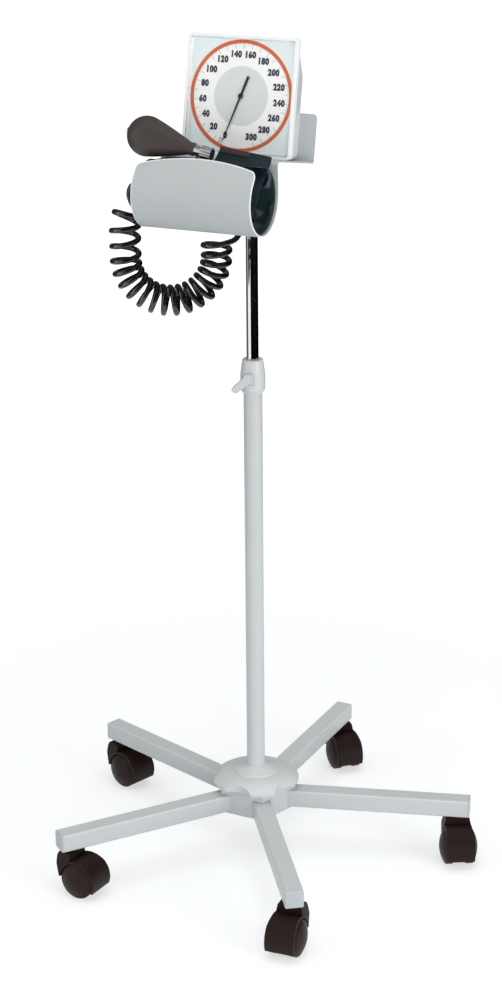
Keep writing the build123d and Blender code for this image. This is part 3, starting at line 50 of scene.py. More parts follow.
# ---------------------------------------------------------------- small tools
# A colour code as linear red, green, blue and alpha, by the usual sRGB curve
def rgb(code):
    values = [int(code[i:i + 2], 16) / 255 for i in (1, 3, 5)]
    return tuple(v / 12.92 if v <= 0.04045 else ((v + 0.055) / 1.055) ** 2.4 for v in values) + (1.0,)


def clamped(value):
    return min(max(value, 0), 1)


def keep(name, data):
    thing = bpy.data.objects.new(name, data)
    bpy.context.scene.collection.objects.link(thing)
    return thing


def new_mesh(name, points, faces):
    mesh = bpy.data.meshes.new(name)
    mesh.from_pydata([tuple(p) for p in points], [], faces)
    return mesh


def finished(piece, material, body, slot, *nodes):
    piece.data.materials.clear()
    piece.data.materials.append(material)
    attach(piece, body)
    if nodes:
        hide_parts(*nodes)


# The mesh that an object shows, with its modifiers or its curve's settings worked in
def shown_mesh(thing):
    depsgraph = bpy.context.evaluated_depsgraph_get()
    return bpy.data.meshes.new_from_object(thing.evaluated_get(depsgraph))


def applied(piece):
    mesh = shown_mesh(piece)
    piece.modifiers.clear()
    piece.data = mesh


def mesh_of_curve(curve):
    carrier = keep("carrier", curve)
    mesh = shown_mesh(carrier)
    bpy.data.objects.remove(carrier)
    bpy.data.curves.remove(curve)
    return mesh


def new_curve(name, kind, route):
    curve = bpy.data.curves.new(name, "CURVE")
    curve.dimensions = "3D"
    run = curve.splines.new(kind)
    run.points.add(len(route) - 1)
    for point, place in zip(run.points, route):
        point.co = (*place, 1)
    return curve, run


# A profile of (radius, height) points turned round the z axis of a frame
def turned(name, profile, place, sides):
    points, faces = [], []
    for radius, height in profile:
        for k in range(sides):
            a = 2 * pi * k / sides
            points.append(place @ Vector((radius * cos(a) * MM, radius * sin(a) * MM, height * MM)))
    for i in range(len(profile) - 1):
        for k in range(sides):
            m = (k + 1) % sides
            faces.append((i * sides + k, i * sides + m, (i + 1) * sides + m, (i + 1) * sides + k))
    mesh = new_mesh(name, points, faces)
    shape = bmesh.new()
    shape.from_mesh(mesh)
    bmesh.ops.remove_doubles(shape, verts=shape.verts, dist=WELD_DISTANCE)
    bmesh.ops.recalc_face_normals(shape, faces=shape.faces)
    shape.to_mesh(mesh)
    shape.free()
    mesh.shade_smooth()
    return keep(name, mesh)


# ---------------------------------------------------------------- camera
CAMERA_PLACE = (1.1383, -2.5567, 1.53565)
CAMERA_HEADING = 24.077
CAMERA_DOWN = 20.012
CAMERA_ROLL = -0.494
CAMERA_LENS = 53.184
CAMERA_SENSOR = 24.0

camera_data = bpy.data.cameras.new("camera")
camera_data.sensor_fit = "VERTICAL"
camera_data.sensor_height = CAMERA_SENSOR
camera_data.lens = CAMERA_LENS
camera = keep("camera", camera_data)
camera.matrix_world = (
    Matrix.Translation(CAMERA_PLACE)
    @ Matrix.Rotation(radians(CAMERA_HEADING), 4, "Z")
    @ Matrix.Rotation(radians(90 - CAMERA_DOWN), 4, "X")
    @ Matrix.Rotation(radians(CAMERA_ROLL), 4, "Z")
)
bpy.context.scene.camera = camera
bpy.context.scene.view_settings.view_transform = "Standard"

# ---------------------------------------------------------------- curly hose
HEAD_HEIGHT = 976.9
HOSE_DIAMETER = 7.5
HOSE_ROUNDNESS = 5
HOSE_STEPS = 5
CURL_RADIUS = 16.8
CURL_START_ANGLE = -54.0
CURL_POINTS = 12
U_CENTRE = (-72.0, -89.5)
U_DROP = 111.4
U_HEADING = -30.6
U_RADIUS = 57.8
U_LEAN_RADIUS = 51.7
U_LEAN_LENGTH = 30.7
U_LEFT_RISE = 35.4
U_RIGHT_RISE = 17.0
CURLS_LEAN = 1.65
CURLS_LEFT = 1.76
CURLS_BEND = 13.77
CURLS_RIGHT = 1.3
# From the cuff's left end down to the first curl, and from the last curl up to the gauge
CUFF_RUN = [(-76.0, -103.15, 958.8), (-86.2, -103.15, 958.8), (-117.9, -98.4, 958.0)]
CUFF_RUN += [(-127.4, -95.7, 945.5), (-123.76, -96.07, 931.2)]
GAUGE_RUN = [(4.34, -48.13, 885.45), (5.0, -42.5, 914.9), (6.86, -34.27, 956.57), (6.86, -31.48, 970.29)]
u_stretches = [
    (CURLS_LEAN, U_LEAN_LENGTH),
    (CURLS_LEFT, U_LEFT_RISE),
    (CURLS_BEND, pi * U_RADIUS),
    (CURLS_RIGHT, U_RIGHT_RISE),
]
curl_count = sum(curls for curls, length in u_stretches)


# The place on the U that the curls wind round, and the way from there to the U's inside
def u_axis(distance):
    heading = Vector((cos(radians(U_HEADING)), -sin(radians(U_HEADING)), 0))
    up = Vector((0, 0, 1))
    centre = Vector((U_CENTRE[0], U_CENTRE[1], HEAD_HEIGHT - U_DROP))
    past_lean = distance - U_LEAN_LENGTH
    past_left = past_lean - U_LEFT_RISE
    past_bend = past_left - pi * U_RADIUS
    if past_lean < 0:
        angle = past_lean / U_LEAN_RADIUS
        inward = heading * cos(angle) + up * sin(angle)
        lean_centre = centre + heading * (U_LEAN_RADIUS - U_RADIUS) + up * U_LEFT_RISE
        return lean_centre - inward * U_LEAN_RADIUS, inward
    if past_left < 0:
        return centre - heading * U_RADIUS - up * past_left, heading
    if past_bend > 0:
        return centre + heading * U_RADIUS + up * past_bend, -heading
    angle = past_left / U_RADIUS
    inward = heading * cos(angle) + up * sin(angle)
    return centre - inward * U_RADIUS, inward


def curl_distance(turns):
    before = 0
    for curls, length in u_stretches:
        distance = before + length * turns / curls
        if turns <= curls:
            break
        turns -= curls
        before += length
    return distance


# The control points stand a little outside the curl, because the spline runs inside them
def curl_point(turns):
    place, inward = u_axis(curl_distance(turns))
    across = Vector((sin(radians(U_HEADING)), cos(radians(U_HEADING)), 0))
    angle = radians(CURL_START_ANGLE) + 2 * pi * turns
    reach = CURL_RADIUS / cos(pi / CURL_POINTS)
    return place + inward * (reach * cos(angle)) - across * (reach * sin(angle))


curl_steps = round(curl_count * CURL_POINTS)
hose_route = [Vector(place) for place in CUFF_RUN]
hose_route += [curl_point(curl_count * i / curl_steps) for i in range(curl_steps + 1)]
hose_route += [Vector(place) for place in GAUGE_RUN]
hose_curve, hose_run = new_curve("curly_hose_run", "NURBS", [place * MM for place in hose_route])
hose_curve.bevel_depth = HOSE_DIAMETER / 2 * MM
hose_curve.bevel_resolution = HOSE_ROUNDNESS
hose_curve.resolution_u = HOSE_STEPS
hose_curve.use_fill_caps = True
hose_run.order_u = 3
hose_run.use_endpoint_u = True
hose = keep("curly_hose_run", hose_curve)

# ---------------------------------------------------------------- shader groups
FLOAT, COLOUR, VECTOR = "NodeSocketFloat", "NodeSocketColor", "NodeSocketVector"
NOISE_MIDDLE = 0.5


def group(name, inputs, outputs):
    tree = bpy.data.node_groups.new(name, "ShaderNodeTree")
    for label, kind, value in inputs:
        socket = tree.interface.new_socket(label, in_out="INPUT", socket_type=kind)
        socket.default_value = value
    for label, kind in outputs:
        tree.interface.new_socket(label, in_out="OUTPUT", socket_type=kind)
    return tree, tree.nodes.new("NodeGroupInput").outputs, tree.nodes.new("NodeGroupOutput").inputs


# A key like i2 means the input at that place, and any other key is the input's label
def node(tree, kind, settings=(), **sockets):
    made = tree.nodes.new(kind if kind.startswith("GeometryNode") else "ShaderNode" + kind)
    for key, value in dict(settings).items():
        setattr(made, key, value)
    for key, value in sockets.items():
        label = key.replace("_", " ")
        socket = made.inputs[int(key[1:])] if key[1:].isdigit() else made.inputs[label]
        if isinstance(value, bpy.types.NodeSocket):
            tree.links.new(value, socket)
        else:
            socket.default_value = value
    return made


def maths(tree, operation, first, second=0.5, third=0.5):
    return node(tree, "Math", {"operation": operation}, i0=first, i1=second, i2=third).outputs[0]


def mixed(tree, share, first, second):
    return node(tree, "Mix", {"data_type": "RGBA"}, i0=share, i6=first, i7=second).outputs[2]


def scaled(tree, colour, tone):
    return node(tree, "VectorMath", {"operation": "SCALE"}, i0=colour, Scale=tone).outputs[0]


# A value that follows a noise up and down about a level
def swung(tree, noise_node, swing, level):
    shift = maths(tree, "SUBTRACT", noise_node.outputs[0], NOISE_MIDDLE)
    return maths(tree, "MULTIPLY_ADD", shift, swing, level)


DRIFT_SWING = 2.0
WORN_ROUGHNESS = 0.15


# Fine moulded or sprayed grain, a slow drift of tone, and small worn patches
def surface_group():
    tree, given, out = group(
        "surface_grain",
        [
            ("Place", VECTOR, (0, 0, 0)),
            ("Colour", COLOUR, (0.5, 0.5, 0.5, 1)),
            ("Worn Colour", COLOUR, (0.5, 0.5, 0.5, 1)),
            ("Drift", FLOAT, 0.04),
            ("Wear", FLOAT, 0.1),
            ("Roughness", FLOAT, 0.4),
            ("Roughness Drift", FLOAT, 0.08),
            ("Grain Size", FLOAT, 0.8),
        ],
        [("Colour", COLOUR), ("Roughness", FLOAT), ("Height", FLOAT)],
    )
    scale = maths(tree, "DIVIDE", 1 / MM, given["Grain Size"])
    grain = node(tree, "TexNoise", Vector=given["Place"], Scale=scale, Detail=3.0, Roughness=0.55)
    slow = node(tree, "TexNoise", Vector=given["Place"], Scale=14.0, Detail=3.0, Roughness=0.5)
    rub = node(tree, "TexNoise", Vector=given["Place"], Scale=75.0, Detail=6.0, Roughness=0.68)
    tone = swung(tree, slow, maths(tree, "MULTIPLY", given["Drift"], DRIFT_SWING), 1.0)
    toned = scaled(tree, given["Colour"], tone)
    mask = node(tree, "MapRange", Value=rub.outputs[0], From_Min=0.60, From_Max=0.74)
    worn = maths(tree, "MULTIPLY", mask.outputs[0], given["Wear"])
    tree.links.new(mixed(tree, worn, toned, given["Worn Colour"]), out["Colour"])
    rough = swung(tree, rub, given["Roughness Drift"], given["Roughness"])
    tree.links.new(maths(tree, "MULTIPLY_ADD", worn, WORN_ROUGHNESS, rough), out["Roughness"])
    tree.links.new(grain.outputs[0], out["Height"])
    return tree


SMUDGE_TONE = 0.12


# Straight fine marks left by turning, drawing or brushing, along one axis of the piece
def brushed_group():
    tree, given, out = group(
        "drawn_lines",
        [
            ("Place", VECTOR, (0, 0, 0)),
            ("Stretch", VECTOR, (1, 1, 0.02)),
            ("Colour", COLOUR, (0.6, 0.6, 0.6, 1)),
            ("Roughness", FLOAT, 0.2),
            ("Line Size", FLOAT, 0.25),
            ("Streak", FLOAT, 0.12),
            ("Smudge", FLOAT, 0.07),
        ],
        [("Colour", COLOUR), ("Roughness", FLOAT), ("Height", FLOAT)],
    )
    along = node(tree, "VectorMath", {"operation": "MULTIPLY"}, i0=given["Place"], i1=given["Stretch"])
    scale = maths(tree, "DIVIDE", 1 / MM, given["Line Size"])
    lines = node(tree, "TexNoise", Vector=along.outputs[0], Scale=scale, Detail=2.0, Roughness=0.6)
    smudge = node(tree, "TexNoise", Vector=given["Place"], Scale=45.0, Detail=4.0, Roughness=0.6)
    tone = swung(tree, smudge, SMUDGE_TONE, 1.0)
    tree.links.new(scaled(tree, given["Colour"], tone), out["Colour"])
    mask = node(tree, "MapRange", Value=smudge.outputs[0], From_Min=0.45, From_Max=0.75)
    streak = swung(tree, lines, given["Streak"], given["Roughness"])
    rough = maths(tree, "MULTIPLY_ADD", mask.outputs[0], given["Smudge"], streak)
    tree.links.new(rough, out["Roughness"])
    tree.links.new(lines.outputs[0], out["Height"])
    return tree


SLUB_HEIGHT = 0.4
CLOTH_ROUGHNESS = 0.42
CLOTH_ROUGHNESS_SWING = 0.2


# Plain weave on the cloth's own UV map, which is in metres, with the valleys between the threads painted
# darker as painted shade
def weave_group():
    tree, given, out = group(
        "plain_weave",
        [
            ("Place", VECTOR, (0, 0, 0)),
            ("Colour", COLOUR, (0.1, 0.1, 0.1, 1)),
            ("Valley Colour", COLOUR, (0.02, 0.02, 0.02, 1)),
            ("Thread", FLOAT, 0.35),
            ("Fade", FLOAT, 0.2),
        ],
        [("Colour", COLOUR), ("Roughness", FLOAT), ("Height", FLOAT)],
    )
    axes = node(tree, "SeparateXYZ", Vector=given["Place"])
    turns = maths(tree, "DIVIDE", pi / MM, given["Thread"])
    warp = maths(tree, "SINE", maths(tree, "MULTIPLY", axes.outputs[0], turns))
    weft = maths(tree, "SINE", maths(tree, "MULTIPLY", axes.outputs[1], turns))
    crossing = maths(tree, "MULTIPLY", warp, weft)
    over = maths(tree, "MULTIPLY_ADD", crossing, 0.5, 0.5)
    uneven = node(tree, "TexNoise", Vector=given["Place"], Scale=60.0, Detail=5.0, Roughness=0.6)
    slub = node(tree, "TexNoise", Vector=given["Place"], Scale=900.0, Detail=2.0, Roughness=0.5)
    height = maths(tree, "MULTIPLY_ADD", slub.outputs[0], SLUB_HEIGHT, over)
    # Painted shade: the valleys between the threads are mixed towards the darker valley colour
    lit = maths(tree, "MULTIPLY_ADD", over, 0.5, 0.5)
    shaded_weave = mixed(tree, lit, given["Valley Colour"], given["Colour"])
    tone = swung(tree, uneven, given["Fade"], 1.0)
    rough = maths(tree, "MULTIPLY_ADD", uneven.outputs[0], CLOTH_ROUGHNESS_SWING, CLOTH_ROUGHNESS)
    tree.links.new(scaled(tree, shaded_weave, tone), out["Colour"])
    tree.links.new(rough, out["Roughness"])
    tree.links.new(height, out["Height"])
    return tree


surface_grain = surface_group()
drawn_lines = brushed_group()
plain_weave = weave_group()


# ---------------------------------------------------------------- materials
def material(name, effect, bump, bump_height, place="Object", shader=(), **values):
    made = bpy.data.materials.new(name)
    made.use_nodes = True
    tree = made.node_tree
    principled = tree.nodes["Principled BSDF"]
    where = tree.nodes.new("ShaderNodeTexCoord").outputs[place]
    placed = tree.nodes.new("ShaderNodeGroup")
    placed.node_tree = effect
    tree.links.new(where, placed.inputs["Place"])
    for key, value in values.items():
        placed.inputs[key.replace("_", " ")].default_value = value
    tree.links.new(placed.outputs["Colour"], principled.inputs["Base Color"])
    tree.links.new(placed.outputs["Roughness"], principled.inputs["Roughness"])
    relief = node(tree, "Bump", Strength=bump, Distance=bump_height * MM, Height=placed.outputs["Height"])
    tree.links.new(relief.outputs[0], principled.inputs["Normal"])
    for key, value in dict(shader).items():
        principled.inputs[key].default_value = value
    return made


def painted(name, code, worn, **values):
    given = {"Drift": 0.03, "Wear": 0.08, "Roughness": 0.36, "Roughness_Drift": 0.1, "Grain_Size": 0.9}
    given.update(Colour=rgb(code), Worn_Colour=rgb(worn), **values)
    return material(name, surface_grain, bump=0.22, bump_height=0.05, **given)


def plastic(name, code, worn, bump=0.3, shader=(), **values):
    given = {"Drift": 0.04, "Wear": 0.12, "Roughness": 0.42, "Roughness_Drift": 0.12, "Grain_Size": 0.35}
    given.update(Colour=rgb(code), Worn_Colour=rgb(worn), **values)
    return material(name, surface_grain, bump=bump, bump_height=0.04, shader=shader, **given)


def metal(name, code, roughness, stretch, line=0.25, bump=0.15, streak=0.12, smudge=0.07):
    return material(
        name, drawn_lines, bump=bump, bump_height=0.01, shader={"Metallic": 1.0},
        Colour=rgb(code), Roughness=roughness, Stretch=stretch, Line_Size=line, Streak=streak, Smudge=smudge,
    )


# The second colour is the painted shade in the weave's valleys
def woven(name, code, valley_shade, bump, bump_height, shader=(), **values):
    return material(
        name, plain_weave, bump=bump, bump_height=bump_height, place="UV", shader=shader,
        Colour=rgb(code), Valley_Colour=rgb(valley_shade), **values,
    )


PANE_IOR = 1.14
PANE_SMEAR = 0.03


def clear_pane():
    pane = bpy.data.materials.new("clear_pane")
    pane.use_nodes = True
    tree = pane.node_tree
    clear = tree.nodes["Principled BSDF"]
    clear.inputs["Base Color"].default_value = (1, 1, 1, 1)
    clear.inputs["Transmission Weight"].default_value = 1.0
    clear.inputs["IOR"].default_value = PANE_IOR
    place = tree.nodes.new("ShaderNodeTexCoord").outputs["Object"]
    smear = node(tree, "TexNoise", Vector=place, Scale=35.0, Detail=4.0).outputs[0]
    rough = node(tree, "MapRange", Value=smear, From_Min=0.5, From_Max=0.8, To_Min=0.0, To_Max=PANE_SMEAR)
    tree.links.new(rough.outputs[0], clear.inputs["Roughness"])
    return pane


SOFT_SHINE = {"Specular IOR Level": 0.18}
STRONG_SHINE = {"Specular IOR Level": 0.8}
CLOTH_SHINE = {"Specular IOR Level": 0.3}
COATED = {"Coat Weight": 0.7, "Coat Roughness": 0.2}
FINISHES = {
    "painted_steel": painted("grey_paint", "#C6CACB", "#B8BCBE"),
    "hub_cover_plastic": plastic("grey_cover", "#CACECF", "#BCBFC0", Roughness=0.4),
    "cap_plastic": plastic("grey_caps", "#B9BEC0", "#A6A9AA"),
    "bright_steel": metal("zinc_plate", "#B8BABB", 0.28, (1, 1, 1), line=0.5),
    "collar_plastic": plastic("pale_collar", "#CDD0D1", "#BFC2C2", Roughness=0.32),
    "guide_plastic": plastic("dark_slide", "#38383A", "#4A4A4B"),
    "chrome_plate": metal(
        "polished_chrome", "#D6D8DA", 0.035, (1, 1, 0.01), line=0.4, bump=0.02, streak=0.02, smudge=0.025,
    ),
    "movement_brass": metal("turned_brass", "#C9A45A", 0.3, (1, 1, 1)),
    "housing_plastic": plastic("white_housing", "#E2E5E6", "#D3D5D6", Roughness=0.42),
    "frame_plastic": plastic("white_frame", "#F7F8F9", "#EAECED", Roughness=0.36, bump=0.12),
    "dial_sheet": painted("dial_white", "#D3DCDD", "#CDD6D7", Roughness=0.55, Wear=0.0, Drift=0.015),
    "pointer_metal": painted("pointer_black", "#0E0D13", "#16151A", Roughness=0.7, Wear=0.0),
    "hose_rubber": plastic(
        "hose_black", "#0B0708", "#110C0D", shader=STRONG_SHINE, bump=0.04,
        Roughness=0.17, Wear=0.15, Grain_Size=1.4,
    ),
    "bulb_rubber": plastic(
        "bulb_rubber", "#3D3532", "#48403C", bump=0.25, Roughness=0.55, Wear=0.25, Drift=0.1, Grain_Size=0.7,
    ),
    "caster_plastic": plastic(
        "caster_brown", "#21130F", "#2C1D19", shader=SOFT_SHINE, Roughness=0.5, Wear=0.3, Drift=0.1,
    ),
    "wheel_plastic": plastic(
        "wheel_brown", "#241613", "#332521", shader=SOFT_SHINE, Roughness=0.46, Wear=0.4, Drift=0.12,
    ),
    "cuff_cloth": woven(
        "cuff_nylon", "#183037", "#091619", 0.6, 0.12, shader=CLOTH_SHINE, Thread=0.45, Fade=0.9,
    ),
    "lens_pane": clear_pane(),
}
nickel = metal("satin_nickel", "#C6C7C6", 0.24, (1, 1, 1), line=0.3)
# The trough's sheet has the same grey paint as the legs; its darker tone here is painted shade against the
# front lamps that light it more, and its higher roughness is the sheet's matte finish
trough_shaded_paint = painted("trough_shaded_paint", "#B9BEBF", "#ADB1B3", Roughness=0.5)
# The edge's paint is paler than the grey paint: a painted highlight along the trough's rounded edge
edge_highlight_paint = painted("edge_highlight_paint", "#EDF0F1", "#E0E3E4", Roughness=0.4)
orange = painted("dial_orange", "#BE5723", "#AE4D1A", Roughness=0.4, Wear=0.05)
scale_white = painted("dial_scale", "#E2E4E1", "#DDDFDC", Roughness=0.45, Wear=0.0, Drift=0.01)
inner_grey = painted("dial_inner", "#C6CBCA", "#C1C6C5", Roughness=0.4, Wear=0.0, Drift=0.01)
tick_grey = painted("dial_ticks", "#7D8488", "#868C90", Roughness=0.45, Wear=0.0)
figure_navy = painted("dial_figures", "#221A3C", "#2A2344", Roughness=0.45, Wear=0.0)
# Each woven finish's second colour is the painted shade between its threads
tape_brown = woven("cuff_tape", "#423733", "#251D1A", 0.6, 0.15, Thread=0.7, Fade=0.3)
lining_cloth = woven("cuff_lining", "#20363C", "#101D20", 0.3, 0.05, shader=COATED, Thread=0.3, Fade=0.3)


def paint(name, finish):
    for slot in frame["nodes"][name].material_slots:
        slot.material = finish


for part in frame["record"]["subparts"]:
    paint(part["node"], FINISHES[part["material_slot"]])
for name in ("release_wheel", "valve_body", "bulb_end_valve"):
    paint(name, nickel)
# The trough and its bracket take the darker copy of the grey paint, as painted shade
paint("cuff_holder", trough_shaded_paint)

# ---------------------------------------------------------------- curly hose's finish and body
finished(hose, FINISHES["hose_rubber"], "head", "hose_rubber", "curly_hose")

# ---------------------------------------------------------------- dial
HEAD_TILT = 11.5
HEAD_BACK = 16.3
DIAL_FACE = 61.5
DIAL_CENTRE = 75.0
CIRCLE_SIDES = 180
SCALE_START = 250.0
SCALE_SWEEP = 320.0
SCALE_END = 300
SCALE_RADIUS = 66.0
RING_OUTER = 69.6
RING_INNER = 64.8
DISC_RADIUS = 36.8
# How far each printed layer stands over the dial's sheet
SCALE_LIFT = 0.04
RING_LIFT = 0.08
MARK_LIFT = 0.14
BOX_LIFT = 0.16
head_tilt = Matrix.Rotation(pi / 2 - radians(HEAD_TILT), 4, "X")
head_place = Matrix.Translation((0, HEAD_BACK * MM, HEAD_HEIGHT * MM)) @ head_tilt


def dial_point(x, y, lift):
    return head_place @ Vector((x * MM, (DIAL_CENTRE + y) * MM, (DIAL_FACE + lift) * MM))


# A flat printed piece whose faces all look out of the dial
def print_piece(name, points, faces, finish):
    mesh = new_mesh(name, points, faces)
    facing = head_place.to_3x3() @ Vector((0, 0, 1))
    for face in mesh.polygons:
        if face.normal.dot(facing) < 0:
            face.flip()
    mesh.update()
    finished(keep(name, mesh), finish, "head", "dial_sheet")


# A printed shape from its outline, or from an outer and an inner outline
def printed(name, finish, lift, outer, inner=()):
    count = len(outer)
    points = [dial_point(x, y, lift) for x, y in [*outer, *inner]]
    faces = [tuple(range(count))]
    if inner:
        faces = [(k, (k + 1) % count, count + (k + 1) % count, count + k) for k in range(count)]
    print_piece(name, points, faces, finish)


def circle(radius):
    angles = [2 * pi * k / CIRCLE_SIDES for k in range(CIRCLE_SIDES)]
    return [(radius * cos(a), radius * sin(a)) for a in angles]


def dial_angle(value):
    return radians(SCALE_START - SCALE_SWEEP * value / SCALE_END)


# The outline of a bar that points away from the dial's centre
def bar(value, inner, outer, width):
    a = dial_angle(value)
    along, side = Vector((cos(a), sin(a))), Vector((-sin(a), cos(a))) * width / 2
    corners = [along * inner - side, along * outer - side, along * outer + side, along * inner + side]
    return [tuple(corner) for corner in corners]


printed("dial_scale_face", scale_white, SCALE_LIFT, circle(SCALE_RADIUS))
printed("dial_orange_ring", orange, RING_LIFT, circle(RING_OUTER), circle(RING_INNER))
printed("dial_inner_disc", inner_grey, RING_LIFT, circle(DISC_RADIUS))


# Bars set out round a circle, kept where the place's remainder by Repeat is above Above
def bar_tree():
    tree = bpy.data.node_groups.new("bars_round_a_circle", "GeometryNodeTree")
    labels = {"Inner": FLOAT, "Outer": FLOAT, "Width": FLOAT, "First Angle": FLOAT, "Step": FLOAT}
    labels |= {"Repeat": FLOAT, "Above": FLOAT, "Count": "NodeSocketInt", "Finish": "NodeSocketMaterial"}
    sockets = {}
    for label, kind in labels.items():
        sockets[label] = tree.interface.new_socket(label, in_out="INPUT", socket_type=kind).identifier
    tree.interface.new_socket("Geometry", in_out="OUTPUT", socket_type="NodeSocketGeometry")
    given = tree.nodes.new("NodeGroupInput").outputs

    def step(kind, **links):
        return node(tree, "GeometryNode" + kind, **links).outputs[0]

    places = step("MeshLine", Count=given["Count"], Offset=(0, 0, 0))
    index = step("InputIndex")
    angle = maths(tree, "MULTIPLY_ADD", index, given["Step"], given["First Angle"])
    heading = node(tree, "CombineXYZ", Z=angle).outputs[0]
    wanted = maths(tree, "GREATER_THAN", maths(tree, "MODULO", index, given["Repeat"]), given["Above"])
    span = maths(tree, "SUBTRACT", given["Outer"], given["Inner"])
    middle = node(tree, "CombineXYZ", X=maths(tree, "MULTIPLY_ADD", span, 0.5, given["Inner"])).outputs[0]
    grid = step("MeshGrid", Size_X=span, Size_Y=given["Width"], Vertices_X=2, Vertices_Y=2)
    placed = step("Transform", Geometry=grid, Translation=middle)
    bars = step("InstanceOnPoints", Points=places, Selection=wanted, Instance=placed, Rotation=heading)
    solid = step("RealizeInstances", Geometry=bars)
    done = step("SetMaterial", Geometry=solid, Material=given["Finish"])
    tree.links.new(done, tree.nodes.new("NodeGroupOutput").inputs[0])
    return tree, sockets


bars_round, bar_sockets = bar_tree()


def dial_bars(name, finish, **sizes):
    piece = keep(name, bpy.data.meshes.new(name))
    ring = piece.modifiers.new("bars", "NODES")
    ring.node_group = bars_round
    ring[bar_sockets["Finish"]] = finish
    for label, value in sizes.items():
        ring[bar_sockets[label.replace("_", " ")]] = value
    applied(piece)
    for vertex in piece.data.vertices:
        vertex.co = dial_point(vertex.co.x, vertex.co.y, MARK_LIFT)
    finished(piece, finish, "head", "dial_sheet")


LONG_STEP = 10
FINE_STEP = 2
# Every long bar is kept, and every fifth fine bar is left out
KEEP_ALL = {"Repeat": 1.0, "Above": -0.5}
SKIP_FIFTH = {"Repeat": 5.0, "Above": 0.5}
LONG_BAR = {"Inner": 58.6, "Outer": 65.8, "Width": 0.55}
FINE_BAR = {"Inner": 62.6, "Outer": 65.2, "Width": 0.22}
scale_turn = -radians(SCALE_SWEEP) / SCALE_END


def bar_places(step):
    return {"First_Angle": dial_angle(0), "Step": scale_turn * step, "Count": SCALE_END // step + 1}


dial_bars("dial_tick_marks", tick_grey, **LONG_BAR, **KEEP_ALL, **bar_places(LONG_STEP))
dial_bars("dial_fine_marks", tick_grey, **FINE_BAR, **SKIP_FIFTH, **bar_places(FINE_STEP))

FIGURE_STEP = 20
FIGURE_SIZE = 10.4
FIGURE_BOLDNESS = 0.8
FIGURE_SPACING = 1.16
FIGURE_NARROWING = 0.86
FIGURE_RADIUS = 52.3
FIGURE_STEPS = 4


def figure_mesh(value):
    text = bpy.data.curves.new("figure", "FONT")
    text.body = str(value)
    text.size = FIGURE_SIZE
    text.align_x = "CENTER"
    text.align_y = "CENTER"
    text.offset = FIGURE_BOLDNESS
    text.resolution_u = FIGURE_STEPS
    text.space_character = FIGURE_SPACING
    return mesh_of_curve(text)


def middle_of(values):
    return (min(values) + max(values)) / 2


def dial_figures():
    points, faces = [], []
    for value in range(0, SCALE_END + 1, FIGURE_STEP):
        flat = figure_mesh(value)
        a = dial_angle(value)
        middle_x = middle_of([v.co.x for v in flat.vertices])
        middle_y = middle_of([v.co.y for v in flat.vertices])
        start = len(points)
        for v in flat.vertices:
            x = (v.co.x - middle_x) * FIGURE_NARROWING + FIGURE_RADIUS * cos(a)
            y = (v.co.y - middle_y) + FIGURE_RADIUS * sin(a)
            points.append(dial_point(x, y, MARK_LIFT))
        faces += [tuple(start + i for i in p.vertices) for p in flat.polygons]
        bpy.data.meshes.remove(flat)
    print_piece("dial_figures", points, faces, figure_navy)


dial_figures()

ZERO_BOX_AT = 3.2
zero_box = bar(ZERO_BOX_AT, inner=57.6, outer=63.2, width=3.6)
zero_window = bar(ZERO_BOX_AT, inner=58.2, outer=62.6, width=2.6)
printed("dial_zero_box", figure_navy, BOX_LIFT, zero_box, zero_window)

# The domed cap over the pointer's arbor, as radius and height over the head's plane
BOSS_PROFILE = [(0, 63.52), (3.3, 63.52), (3.4, 63.6), (3.3, 63.95), (2.6, 64.5), (1.5, 65.0), (0, 65.1)]
BOSS_SIDES = 32
boss_place = head_place @ Matrix.Translation((0, DIAL_CENTRE * MM, 0))
boss = turned("pointer_boss_cap", BOSS_PROFILE, boss_place, BOSS_SIDES)
finished(boss, FINISHES["pointer_metal"], "needle", "pointer_metal")

# ---------------------------------------------------------------- bulb
BULB_RADIUS = 25
BULB_PLACE = (-79.0, -135.0, 1025.75)
BULB_DROOP = 10.7
BULB_INLET_RADIUS = 5.6
BULB_SHOULDER_ANGLE = 76.0
BULB_NECK = (8.0, 58.0)
BULB_STEPS = 24
BULB_SIDES = 96
# The hole in the bulb's round end, and the rolled collar at its neck
BULB_INLET = [(4.4, -24.2), (5.2, -24.5)]
BULB_COLLAR = [(7.9, 60.0), (8.05, 60.6), (8.05, 65.2), (7.7, 65.9), (7.2, 66.1), (5.2, 66.15)]
droop = radians(BULB_DROOP)
bulb_place = Matrix(
    (
        (0, sin(droop), cos(droop), BULB_PLACE[0] * MM),
        (1, 0, 0, BULB_PLACE[1] * MM),
        (0, cos(droop), -sin(droop), BULB_PLACE[2] * MM),
        (0, 0, 0, 1),
    )
)


# A ball that runs on, with no corner, in one long arc to the neck
def bulb_profile():
    shoulder = radians(BULB_SHOULDER_ANGLE)
    inlet = pi - asin(BULB_INLET_RADIUS / BULB_RADIUS)
    profile = list(BULB_INLET)
    for k in range(BULB_STEPS):
        a = inlet - (inlet - shoulder) * k / (BULB_STEPS - 1)
        profile.append((BULB_RADIUS * sin(a), BULB_RADIUS * cos(a)))
    start, end = Vector(profile[-1]), Vector(BULB_NECK)
    tangent = Vector((-cos(shoulder), sin(shoulder)))
    chord = end - start
    turn = tangent.x * chord.y - tangent.y * chord.x
    radius = chord.length_squared / (2 * turn)
    centre = start + Vector((-tangent.y, tangent.x)) * radius
    first = start - centre
    swing = 2 * asin(chord.length / (2 * abs(radius)))
    for k in range(1, BULB_STEPS + 1):
        a = swing * k / BULB_STEPS * (1 if radius > 0 else -1)
        turned_first = Vector((first.x * cos(a) - first.y * sin(a), first.x * sin(a) + first.y * cos(a)))
        profile.append(tuple(centre + turned_first))
    return profile + BULB_COLLAR


bulb = turned("squeeze_bulb", bulb_profile(), bulb_place, BULB_SIDES)
finished(bulb, FINISHES["bulb_rubber"], "head", "bulb_rubber", "bulb")

